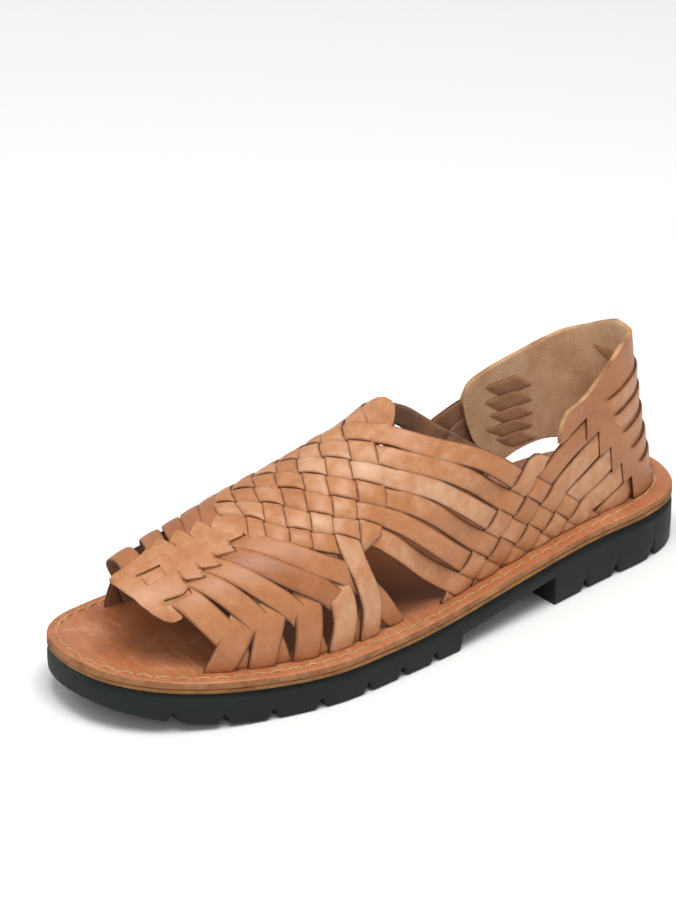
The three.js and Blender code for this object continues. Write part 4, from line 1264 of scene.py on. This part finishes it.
class SANDAL_OT_sole(bpy.types.Operator):
    """Rubber sole with its heel block and notches, and the two leather layers on it"""

    bl_idname = "sandal.sole"
    bl_label = "Sole, midsole and insole"

    def execute(self, context):
        self.outsole(sole_rubber())
        midsole = sole_layer(
            "midsole_leather_layer", lambda s: rubber_top(s) + MIDSOLE_LIFT,
            lambda s: rubber_top(s) + GAP + MIDSOLE - MIDSOLE_DROP, MIDSOLE_ROUND, [midsole_leather()],
            MIDSOLE_GROW)
        ride(midsole, "raw_leather", "midsole")
        insole = sole_layer(
            "insole_leather_footbed", lambda s: insole_top(s) - INSOLE - INSOLE_SINK, insole_top,
            INSOLE_ROUND, [insole_leather(), fibrous("rim")])
        for face in insole.data.polygons:
            if abs(face.normal.z) < EDGE_FACING:
                face.material_index = 1
        self.tread_marks(insole.data)
        ride(insole, "insole_leather", "insole")
        return {"FINISHED"}

    def tread_marks(self, mesh):
        """Share of the worn colour at each point, inside the line of the upper's foot."""
        values = []
        for point in mesh.vertices:
            station = LENGTH / 2 - point.co.y / MM
            x = point.co.x / MM - MID_SHIFT
            inside = min(edge_x(SOLE_SIDES, 1, station) - x, x - edge_x(SOLE_SIDES, -1, station))
            back = ramp(station, TRODDEN_END, -TRODDEN_LONG)
            values.append(TRODDEN * ramp(inside, *TRODDEN_INSET) * back)
        mark(mesh, "trodden", values)

    def outsole(self, rubber):
        extra = [HEEL_BREAST + d for d in BREAST_STEPS] + [FORE_STEP + d for d in FORE_STEPS]
        for place in NOTCHES:
            extra += [place + d for d in NOTCH_STEPS]
            extra += [place - d for d in NOTCH_STEPS[1:]]
        loops = [self.section(s) for s in stations_with(extra, SOLE_STATIONS)]
        ride(loft("rubber_outsole", loops, [rubber]), "rubber", "outsole")

    def section(self, s):
        """Loop across the rubber at a station: down one wall, over the tread and up the other."""
        outer = edge_x(SOLE_SIDES, 1, s) + SOLE_GROW
        inner = edge_x(SOLE_SIDES, -1, s) - SOLE_GROW
        high, low = rubber_top(s), underside(s)
        cut = NOTCH_HIGH * notch_at(s)
        fit = min(1.0, (outer - inner) / 2 / NARROW)
        rim = SOLE_RIM / (high - low - cut)
        wall = [(1 - rim * part, inset) for part, inset in RIM_WALL] + [LOW_WALL]
        run = [(inset * fit, lerp(low + cut, high, part)) for part, inset in wall]
        run += [(inset * fit, low + cut + lift) for lift, inset in TREAD_CORNER]
        run += [((NOTCH_DEEP + past) * fit, low + cut * part) for past, part in NOTCH_END]
        loop = [(outer - inset, s, height) for inset, height in run]
        return loop + [(inner + inset, s, height) for inset, height in run[::-1]]


class SANDAL_OT_stitches(bpy.types.Operator):
    """Row of stitches round the insole, laid along its edge"""

    bl_idname = "sandal.stitches"
    bl_label = "Insole stitches"

    def execute(self, context):
        sizes = context.scene.sandal_sizes
        line = self.line(sizes.inset / MM)
        tree, keys = self.tree()
        modifier = line.modifiers.new("stitches", "NODES")
        modifier.node_group = tree
        modifier[keys["Spacing"]] = sizes.stitch
        modifier[keys["Thickness"]] = sizes.thread
        modifier[keys["Thread"]] = waxed_thread()
        graph = context.evaluated_depsgraph_get()
        mesh = bpy.data.meshes.new_from_object(line.evaluated_get(graph))
        bpy.data.objects.remove(line)
        ride(link("insole_stitches", mesh), "insole_leather")
        return {"FINISHED"}

    def line(self, inset):
        """Curve of the stitch line, an inset in mm from the sole's edge and further in at the heel."""
        near, far = inset_ring(SOLE_RING, inset), inset_ring(SOLE_RING, inset + HEEL_STITCH)
        back = np.array([ramp(s, HEEL_STITCH_END, -HEEL_STITCH_LONG) for s in SOLE_RING[:, 1]])
        path = (near + (far - near) * back[:, None])[::LINE_STEP]
        curve = bpy.data.curves.new("stitch_line", "CURVE")
        curve.dimensions = "3D"
        spline = curve.splines.new("POLY")
        spline.points.add(len(path) - 1)
        spline.use_cyclic_u = True
        for point, (x, s) in zip(spline.points, path):
            point.co = (*placed(x, s, insole_top(s) + STITCH_LIFT), 1.0)
        return link("stitch_line", curve)

    def tree(self):
        """A stitch is a short thread, pulled down at both ends and slightly turned off the line."""
        tree = bpy.data.node_groups.new("stitch_row", "GeometryNodeTree")
        face = tree.interface
        face.new_socket("Geometry", in_out="INPUT", socket_type="NodeSocketGeometry")
        keys = {}
        for name, kind in (("Spacing", "Float"), ("Thickness", "Float"), ("Thread", "Material")):
            keys[name] = face.new_socket(name, in_out="INPUT", socket_type="NodeSocket" + kind).identifier
        face.new_socket("Geometry", in_out="OUTPUT", socket_type="NodeSocketGeometry")
        given = add(tree, "NodeGroupInput").outputs
        dots = add(tree, "GeometryNodeResampleCurve", {
            "Curve": given["Geometry"], "Length": given["Spacing"]}, mode="LENGTH")
        stitch = self.one_stitch(tree, given)
        run = add(tree, "GeometryNodeInputTangent").outputs["Tangent"]
        turn = add(tree, "FunctionNodeAlignRotationToVector", {"Vector": run}, axis="X", pivot_axis="Z")
        wobble = add(tree, "FunctionNodeRandomValue", {
            2: -STITCH_TURN, 3: STITCH_TURN, "Seed": SEEDS["stitches"]}, data_type="FLOAT")
        twist = add(tree, "ShaderNodeCombineXYZ", {"Z": wobble.outputs[1]})
        turned = add(tree, "FunctionNodeRotateRotation", {
            "Rotation": turn.outputs["Rotation"], "Rotate By": twist.outputs[0]}, rotation_space="LOCAL")
        points = add(tree, "GeometryNodeInstanceOnPoints", {
            "Points": dots.outputs["Curve"], "Instance": stitch, "Rotation": turned.outputs["Rotation"]})
        real = add(tree, "GeometryNodeRealizeInstances", {"Geometry": points.outputs["Instances"]})
        smoothed = add(tree, "GeometryNodeSetShadeSmooth", {"Geometry": real.outputs["Geometry"]})
        dressed = add(tree, "GeometryNodeSetMaterial", {
            "Geometry": smoothed.outputs["Geometry"], "Material": given["Thread"]})
        add(tree, "NodeGroupOutput", {"Geometry": dressed.outputs["Geometry"]})
        return tree, keys

    def one_stitch(self, tree, given):
        size = {}
        for name, source, factor in (
                ("half", "Spacing", STITCH_HALF), ("back", "Spacing", -STITCH_HALF),
                ("dip", "Thickness", STITCH_DIP), ("rise", "Thickness", STITCH_CROWN),
                ("radius", "Thickness", STITCH_RADIUS)):
            product = add(tree, "ShaderNodeMath", {0: given[source], 1: factor}, operation="MULTIPLY")
            size[name] = product.outputs[0]
        start = add(tree, "ShaderNodeCombineXYZ", {"X": size["back"], "Z": size["dip"]})
        end = add(tree, "ShaderNodeCombineXYZ", {"X": size["half"], "Z": size["dip"]})
        crown = add(tree, "ShaderNodeCombineXYZ", {"Z": size["rise"]})
        arc = add(tree, "GeometryNodeCurveQuadraticBezier", {
            "Resolution": STITCH_CELLS, "Start": start.outputs[0], "Middle": crown.outputs[0],
            "End": end.outputs[0]})
        ring = add(tree, "GeometryNodeCurvePrimitiveCircle", {
            "Resolution": STITCH_CELLS, "Radius": size["radius"]}, mode="RADIUS")
        stitch = add(tree, "GeometryNodeCurveToMesh", {
            "Curve": arc.outputs["Curve"], "Profile Curve": ring.outputs["Curve"], "Fill Caps": True})
        return stitch.outputs["Mesh"]


def weave_lift(i, j, over):
    """Lift of a strip in plain weave, from -1 to 1, flat at each crossing."""
    wave = math.cos(math.pi * (i + j)) * over
    return math.copysign(abs(wave) ** WEAVE_FLAT, wave)


def tone_of(draw, group):
    """Tone of one strip's dye, drawn around the middle of its group."""
    return draw.uniform(TONES[group] - TONE_SPREAD, TONES[group] + TONE_SPREAD)


class SANDAL_OT_weave(bpy.types.Operator):
    """Woven strips, each from its quarter over the instep to the other side's forefoot"""

    bl_idname = "sandal.weave"
    bl_label = "Woven strips"

    def execute(self, context):
        draw = random.Random(SEEDS["weave"])
        sizes = sizes_mm(context)
        leather = Leather()
        for side in (1, -1):
            for number in range(1, STRIP_COUNT + 1):
                run = []
                if number < STRIP_COUNT:
                    run += self.quarter(number, side, sizes.weave) + self.band(number, side)
                run += self.lattice(number, side, sizes.weave)
                if 1 < number < STRIP_COUNT:
                    run += self.fore(number, side, sizes.weave)
                leather.strip(*even_rows(*zip(*run)), sizes.strip, tone_of(draw, "weave"))
        ride(leather.make("woven_strips", leathers()), "strip_leather", "upper")
        return {"FINISHED"}

    def quarter(self, number, side, weave):
        """Rows and lifts from the insole up through the quarter's weave."""
        def place(n, k):
            return quarter_place(n, k, side)

        run = []
        low = CORNER_AT + (quarter_spot(number, CORNER_AT)[1] + FOOT_DEEP) / -QUARTER_HEEL[1]
        if side < 0 and number == 1:
            low = INNER_FIRST_END
        for k in np.arange(low, QUARTER_TOP, -CELL_STEP):
            row = strip_row(place, number, k, STEPS["quarter"], BAND_WIDTH, BAND_TURN)
            run.append((row, -weave * weave_lift(number, k, 1) * ramp(k, *QUARTER_FADE)))
        return run

    def band(self, number, side):
        """Rows and lifts of the side band, which lies beside its neighbours."""
        def place(n, g):
            return skin(woven_at(BANDS, n, g), g * side)

        run = []
        edge = crossing_girth(number, HALF_CELL)
        for g in np.linspace(BAND_LOW, edge + BAND_OVERLAP, BAND_ROWS):
            turned = ramp(g, edge, BAND_SQUARE)
            run.append((strip_row(place, number, g, STEPS["band"], BAND_WIDTH, turned), 0.0))
        return run

    def lattice(self, number, side, weave):
        """Rows and lifts over the instep, where the strips of both sides cross."""
        def place(n, t):
            return instep_place(n, t) if side > 0 else instep_place(t, n)

        run = []
        first = WEAVE_START if number < STRIP_COUNT else WEAVE_START + 1
        final = STRIP_COUNT + (HALF_CELL if number > 1 else -HALF_CELL)
        for j in np.arange(first, final, CELL_STEP):
            slant = FIRST_SLANT * ramp(j, *FIRST_SLANT_AT) if number == 1 else 0.0
            row = strip_row(place, number, j, STEPS["lattice"], None, 0.0, slant)
            run.append((row, weave * weave_lift(number, j, side)))
        return run

    def fore(self, number, side, weave):
        """Rows and lifts over the fan and down to the insole at the forefoot."""
        def place(n, g):
            return skin(woven_at(FORES, n, min(g, 1.0)), -g * side)

        run = []
        foot, shows = FORE_FEET[number]
        start = crossing_girth(STRIP_COUNT + HALF_CELL, number)
        for g in [*np.arange(start + FORE_START, 1.0, FORE_GIRTH_STEP), *FOOT_GIRTHS]:
            wide = lerp(BAND_WIDTH, foot, ramp(g, start, FORE_WIDEN))
            wide *= 1 - FORE_TAPER * ramp(g, *TAPER_AT)
            up = lerp(-1.0, 1.0, ramp(g, shows, FORE_RISE))
            up *= 1 - FORE_SETTLE * ramp(g, *SETTLE_AT)
            turned = ramp(g, start, FORE_SQUARE)
            run.append((strip_row(place, number, g, STEPS["fore"], wide, turned), weave * up))
        return run


class SANDAL_OT_fan(bpy.types.Operator):
    """Fan strips, from the slits of the toe plate to the feather line"""

    bl_idname = "sandal.fan"
    bl_label = "Fan strips"

    def execute(self, context):
        draw = random.Random(SEEDS["fan"])
        sizes = sizes_mm(context)
        leather = Leather()
        for side in (1, -1):
            front = FAN[0] if side > 0 else INNER_FRONT
            for row in [front, *FAN[1:]]:
                # The fan strips' darker tone is painted shade on their faces that turn to the side
                self.strip(leather, row, side, sizes, tone_of(draw, "fan"))
        ride(leather.make("fan_strips", leathers()), "strip_leather")
        return {"FINISHED"}

    def strip(self, leather, row, side, sizes, tone):
        slit, mid, low, foot, width, dive = row
        width *= 1.0 if side > 0 else INNER_FAN
        hidden = (slit[0] + FAN_TUCK[0], slit[1] + FAN_TUCK[1])
        knots = [hidden, slit, mid, low, (foot, FOOT_GIRTHS[0]), (foot, FOOT_GIRTHS[-1])]

        def place(n, t):
            station, girth = spline_at(knots, t)
            ahead = spline_at(knots, t + STEPS["path"]) - spline_at(knots, t - STEPS["path"])
            run = np.array([ahead[0], ahead[1] * FAN_GIRTH])
            run /= np.linalg.norm(run)
            wide = n * PATH_PITCH
            return skin(station + wide * run[1], (girth - wide * run[0] / FAN_GIRTH) * side)

        rows, lifts = [], []
        for t in np.linspace(*FAN_WAY):
            girth = spline_at(knots, t)[1]
            wide = width * (1 - FAN_TAPER * ramp(girth, *TAPER_AT))
            rows.append(strip_row(place, 0.0, t, STEPS["path"], wide, 1.0))
            tucked = 1 - ramp(t, *FAN_OUT)
            down = ramp(girth, dive, FAN_DIVE)
            lifts.append(sizes.weave * (1 - DIVE_DEEP * down - TUCK_DEEP * tucked))
        leather.strip(*even_rows(rows, lifts), sizes.strip, tone)


def collar_top(around):
    return curved(COLLAR if around >= 0 else FLAP_COLLAR, abs(around))


def squeeze(around):
    """Share of the height that the lower collar of the inner side leaves."""
    return collar_top(around) / collar_top(abs(around))


def back_height(end, low, around):
    """Height of a back strip's middle."""
    rise = BACK_SLOPE * (math.hypot(end, BACK_ROUND) - math.hypot(around, BACK_ROUND))
    return (low + rise) * squeeze(around)


class SANDAL_OT_heel(bpy.types.Operator):
    """Heel counter, the strips woven through its front, and the strips across its back"""

    bl_idname = "sandal.heel"
    bl_label = "Heel counter and heel strips"

    def execute(self, context):
        draw = random.Random(SEEDS["heel"])
        sizes = sizes_mm(context)
        self.counter(sizes)
        strips = Leather()
        for number, knots in HEEL_STRIPS.items():
            self.heel_strip(strips, number, knots, 1, sizes, tone_of(draw, "heel"))
        self.last_strip(strips, sizes, tone_of(draw, "heel"))
        for number, knots in INNER_HEEL_STRIPS.items():
            self.heel_strip(strips, number, knots, -1, sizes, tone_of(draw, "heel"))
        ride(strips.make("heel_strips", leathers()), "strip_leather")
        back = Leather()
        for row in BACK_STRIPS:
            self.back_strip(back, row, sizes, tone_of(draw, "back"))
        ride(back.make("back_strips", leathers()), "strip_leather")
        tails = Leather()
        for row in TAILS:
            self.tail(tails, row)
        nap = napped("tail")
        ride(tails.make("strip_tails", [nap, nap, fibrous("burnish")]), "strip_leather")
        return {"FINISHED"}

    def lower_edge(self):
        """Places round the heel and heights along the counter's lower edge, inner side first."""
        outer = [(u, COUNTER_LOW) for u in np.linspace(*BACK_ROWS)]
        for tooth in TEETH:
            start, end, notch, tip = tooth
            last = tooth is TEETH[-1]
            stop = FRONT_STOP if last else end - TOOTH_GAP
            low = lerp(notch, tip, (stop - start) / (end - start))
            for part in np.linspace(0, 1, FRONT_POINTS if last else TOOTH_POINTS):
                outer.append((lerp(start + TOOTH_GAP, stop, part), lerp(notch, low, part)))
        inner = [(-u, COUNTER_LOW) for u in np.linspace(*INNER_BACK_ROWS)]
        for rows in FLAP_ROWS:
            inner += [(-u, curved(FLAP_EDGE, u)) for u in np.linspace(*rows)]
        return inner[::-1] + outer + FRONT_LOBE

    def counter(self, sizes):
        rows, rim = [], []
        for u, low in self.lower_edge():
            top = collar_top(u)
            heights = [lerp(low, top, k / COUNTER_CELLS) for k in range(COUNTER_CELLS + 1)]
            rows.append([heel_skin(u, h) for h in heights])
            # Painted contact shade: the edge value darkens the counter's lowest few mm by the insole
            rim.append([max(PLAIN_EDGE, 1 - smooth(h / FOOT_SHADE_HEIGHT)) for h in heights])
        lifts = np.full(np.shape(rim), COUNTER_LIFT)
        sheet = [strip_leather(), napped("suede"), fibrous("cut"), fibrous("burnish")]
        # The counter's darker tone is painted shade on its faces that turn to the side
        piece = plate("heel_counter", rows, lifts, sizes.counter, sheet, rim=rim, tone=TONES["counter"])
        # Painted shade: the outer teeth's cut edges get the dark strip edge, for the shadow lines where
        # the heel strips come out
        front = heel_skin(*TEETH_FRONT)[1] * MM
        for face in piece.data.polygons:
            x, y, z = face.center
            if face.material_index == CUT and x > 0 and y > front and z < TEETH_TOP * MM:
                face.material_index = SHADED_CUT
        ride(piece, "strip_leather")

    def heel_strip(self, leather, number, knots, side, sizes, tone):
        """Strip from its slit in the counter, through the quarter's weave, to the insole."""
        run_in = knots + [quarter_spot(i, number) for i in RUN_IN]
        inlet = heel_path(run_in, side)

        def quarter(n, i):
            return quarter_place(i, n, side)

        rows, lifts = [], []
        lens = len(knots) == 2
        slit, level, settles = HEEL_LIFTS[side]
        share = (len(run_in) - 2) / (len(run_in) - 1)
        for t in np.linspace(PATH_END, share - INLET_STOP, HEEL_ROWS):
            taper = smooth(t / LENS_TAPER) if lens else 1.0
            wide = max(HEEL_WIDTH * taper, LENS_TIP)
            rows.append(strip_row(inlet, 0.0, t, STEPS["path"], wide, 1.0))
            settle = 1 - ramp(t, settles, HEEL_SETTLE)
            lift = LENS_LIFT if lens else lerp(slit, level * settle, ramp(t, *HEEL_OUT))
            lifts.append([lift + LEAF_TILT * settle * across for across, _, _ in SECTION])
        foot = CORNER_AT + (quarter_spot(CORNER_AT, number)[1] + FOOT_DEEP) / -QUARTER_BAND[1]
        for i in np.arange(WEAVE_START, foot, CELL_STEP):
            rows.append(strip_row(quarter, number, i, STEPS["quarter"], HEEL_WIDTH, HEEL_TURN))
            over_flap = FLAP_LIFT * (1 - ramp(i, *FLAP_FADE)) if side < 0 else 0.0
            lifts.append([sizes.weave * weave_lift(i, number, 1) + over_flap] * len(SECTION))
        leather.strip(*even_rows(rows, lifts), sizes.strip, tone)

    def tail(self, leather, row):
        """End of a back strip, which comes through a slit of the flap and lies inside it."""
        height, width, start, end = row

        def place(n, t):
            return heel_skin(-lerp(start, end, t), height - TAIL_FALL * t + n * PATH_PITCH)

        rows, lifts = [], []
        for t in np.linspace(0, 1, TAIL_ROWS):
            rows.append(strip_row(place, 0.0, t, STEPS["short"], width, 1.0, TAIL_SLANT))
            inside = ramp(t, *TAIL_IN) * (1 - TAIL_BACK * ramp(t, *TAIL_BACK_AT))
            lifts.append(lerp(COUNTER_LIFT, TAIL_INSIDE, inside))
        leather.strip(rows, lifts, TAIL_THICK, TONES["tail"])

    def last_strip(self, leather, sizes, tone):
        """Lowest heel strip of the outer side, which goes down to the insole before the quarter."""
        place = heel_path(LAST_HEEL_STRIP, 1)
        rows, lifts = [], []
        for t in np.linspace(PATH_END, 1 - PATH_END, LAST_ROWS):
            rows.append(strip_row(place, 0.0, t, STEPS["path"], LAST_WIDTH, 1.0))
            lifts.append(LAST_LIFTS[0] * (1 - ramp(t, *LAST_OUT)) + LAST_LIFTS[1])
        leather.strip(*even_rows(rows, lifts), sizes.strip, tone)

    def back_strip(self, leather, row, sizes, tone):
        """Strip across the back, from side to side."""
        end, low, share = row
        reach = end + BACK_SLANT

        def place(n, t):
            around = t * reach * (1 if t > 0 else share)
            return heel_skin(around, back_height(end, low, around) + n * BACK_PITCH * squeeze(around))

        rows, lifts = [], []
        for t in np.linspace(*BACK_WAY):
            width = lerp(*BACK_WIDTHS, smooth(abs(t))) * squeeze(t * reach)
            rows.append(strip_row(place, 0.0, t, STEPS["path"], width, 1.0))
            heights = []
            for across, _, _ in SECTION:
                sunk = ramp(abs(t) * reach - end - BACK_SLANT * across, *BACK_SINK)
                heights.append(lerp(BACK_OUT + BACK_TILT * across, SUNK_LIFT, sunk))
            lifts.append(heights)
        leather.strip(rows, lifts, sizes.strip, tone)


class SANDAL_OT_plate(bpy.types.Operator):
    """Toe plate with its slits and the short strap in its window, and the tab behind the instep"""

    bl_idname = "sandal.plate"
    bl_label = "Toe plate and tab"

    def execute(self, context):
        sizes = sizes_mm(context)
        edge = self.edge()
        rows, lifts = [], []
        for s, inner, outer in edge:
            girths = self.girths(inner, outer)
            rows.append([skin(s, g) for g in girths])
            drop = LOBE_DROP * ramp(s, LOBE_END, -LOBE_LONG)
            lifts.append([PLATE_LIFT - drop * ramp(g, *LOBE_SIDE) for g in girths])
        holes = set()
        for r in range(len(edge) - 1):
            middle = (edge[r][0] + edge[r + 1][0]) / 2
            if abs(middle - WINDOW[0]) < WINDOW_HALF:
                holes.add((r, PLATE_CELLS[0]))
            if FRONT_SLIT[0] < middle < FRONT_SLIT[1]:
                holes.add((r, sum(PLATE_CELLS[:3])))
        rim = np.full((len(edge), sum(PLATE_CELLS) + 1), PLAIN_EDGE)
        # Painted shade: the plate's inner edge takes the dark rim colour for the dark slits beside its
        # teeth
        rim[[s < SHADED_TEETH_END for s, _, _ in edge], 0] = 1.0
        sheet = [strip_leather(), napped("suede"), fibrous("cut")]
        ride(plate("toe_plate", rows, lifts, sizes.strip, sheet, holes, rim), "strip_leather")
        self.strap(sizes)
        self.tab(sizes)
        return {"FINISHED"}

    def edge(self):
        """Stations about 1 mm apart, with the girths of the plate's inner and outer edge."""
        edge = []
        for start, end in zip(PLATE_EDGE, PLATE_EDGE[1:]):
            parts = max(int(end[0] - start[0]), 1)
            for k in range(parts):
                edge.append(tuple(lerp(a, b, k / parts) for a, b in zip(start, end)))
        return edge + [PLATE_EDGE[-1]]

    def girths(self, inner, outer):
        """Girths across one row of the plate, with a line along each side of both slits."""
        half, front = SLIT_HALVES
        marks = [-inner, WINDOW[1] - half, WINDOW[1] + half]
        marks += [FRONT_SLIT[2] - front, FRONT_SLIT[2] + front, outer]
        for n in range(1, len(marks) - 1):
            room = outer - marks[n - 1]
            marks[n] = clamp(
                marks[n], marks[n - 1] + SLIT_ROOM[0] * room, outer - SLIT_ROOM[1] * room)
        girths = [marks[0]]
        for n, cells in enumerate(PLATE_CELLS):
            girths += [lerp(marks[n], marks[n + 1], (k + 1) / cells) for k in range(cells)]
        return girths

    def strap(self, sizes):
        """Short strap that fills the window, a little proud of the plate."""
        strap = Leather()

        def girth_at(t):
            return lerp(WINDOW[1] - STRAP_TUCK, WINDOW_END + STRAP_TUCK, t)

        def place(n, t):
            return skin(WINDOW[0] + n * PATH_PITCH, girth_at(t))

        rows, lifts = [], []
        for t in np.linspace(0, 1, STRAP_ROWS):
            girth = girth_at(t)
            rows.append(strip_row(place, 0.0, t, STEPS["short"], STRAP_WIDTH, 1.0))
            up = ramp(girth, WINDOW[1], STRAP_RISE) * (1 - ramp(girth, *STRAP_FALL))
            lifts.append(lerp(*STRAP_LIFTS, up))
        strap.strip(rows, lifts, sizes.strip * STRAP_THICK, TONES["strap"])
        ride(strap.make("plate_strap", leathers()), "strip_leather")

    def tab(self, sizes):
        """Small rounded tab, which rises behind the first crossing."""
        count, cells = TAB_CELLS
        rows, lifts = [], []
        for s in np.linspace(TAB[0][0], TAB[-1][0], count):
            half = curved(TAB, s) / TAB_GIRTH
            rows.append([skin(s, half * (2 * k / cells - 1)) for k in range(cells + 1)])
            lifts.append([lerp(*TAB_LIFTS, ramp(s, *TAB_FALL))] * (cells + 1))
        ride(plate("instep_tab", rows, lifts, sizes.strip, leathers()), "strip_leather")


class SANDAL_OT_stage(bpy.types.Operator):
    """Pale floor, soft studio lights and the camera"""

    bl_idname = "sandal.stage"
    bl_label = "Stage"

    def execute(self, context):
        self.floor()
        world = bpy.data.worlds.new("studio")
        world.use_nodes = True
        back = world.node_tree.nodes["Background"]
        back.inputs["Color"].default_value = (1.0, 1.0, 1.0, 1.0)
        back.inputs["Strength"].default_value = ROOM_LIGHT
        context.scene.world = world
        for name, place, power, width in LAMPS:
            light = bpy.data.lights.new(name, "AREA")
            light.energy = power
            light.size = width
            lamp = link(name, light)
            lamp.location = place
            aim = Vector(LAMP_AIM) - Vector(place)
            lamp.rotation_euler = aim.to_track_quat("-Z", "Y").to_euler()
        context.scene.camera = self.camera()
        context.scene.view_settings.view_transform = "Standard"
        return {"FINISHED"}

    def floor(self):
        material, tree, shader = fresh("pale_studio_paper")
        dress(tree, shader, {}, {"Base Color": linear(FLOOR_COLOUR), "Roughness": FLOOR_ROUGHNESS})
        corners = [(x * FLOOR_HALF, y * FLOOR_HALF, 0.0) for x, y in ((-1, -1), (1, -1), (1, 1), (-1, 1))]
        link("floor", shell("floor", corners, [(0, 1, 2, 3)], [material]))

    def camera(self):
        turn, rise = math.radians(CAMERA_TURN), math.radians(CAMERA_RISE)
        back = Vector((math.sin(turn) * math.cos(rise), -math.cos(turn) * math.cos(rise), math.sin(rise)))
        camera = bpy.data.cameras.new("camera")
        camera.sensor_width = CAMERA_SENSOR
        camera.sensor_fit = "AUTO"
        camera.lens = CAMERA_LENS
        piece = link("camera", camera)
        piece.location = Vector(CAMERA_AIM) + back * CAMERA_FAR
        piece.rotation_euler = (-back).to_track_quat("-Z", "Y").to_euler()
        return piece


class SANDAL_PT_panel(bpy.types.Panel):
    """List of the sandal's pieces in the sidebar"""

    bl_label = "Sandal"
    bl_space_type = "VIEW_3D"
    bl_region_type = "UI"
    bl_category = "Sandal"

    def draw(self, context):
        for kind in OPERATORS:
            self.layout.operator(kind.bl_idname)
        for group in (context.scene.sandal_sizes, context.scene.sandal_looks):
            box = self.layout.box()
            for key in group.__annotations__:
                box.prop(group, key)


OPERATORS = (
    SANDAL_OT_sole, SANDAL_OT_stitches, SANDAL_OT_weave, SANDAL_OT_fan, SANDAL_OT_heel, SANDAL_OT_plate,
    SANDAL_OT_stage,
)
CLASSES = (SandalSizes, SandalLooks, *OPERATORS, SANDAL_PT_panel)


def register():
    for kind in CLASSES:
        bpy.utils.register_class(kind)
    bpy.types.Scene.sandal_sizes = bpy.props.PointerProperty(type=SandalSizes)
    bpy.types.Scene.sandal_looks = bpy.props.PointerProperty(type=SandalLooks)


def unregister():
    del bpy.types.Scene.sandal_looks
    del bpy.types.Scene.sandal_sizes
    for kind in reversed(CLASSES):
        bpy.utils.unregister_class(kind)


def main():
    register()
    bpy.ops.sandal.sole()
    bpy.ops.sandal.stitches()
    bpy.ops.sandal.weave()
    bpy.ops.sandal.fan()
    bpy.ops.sandal.heel()
    bpy.ops.sandal.plate()
    bpy.ops.sandal.stage()


if __name__ == "__main__":
    main()
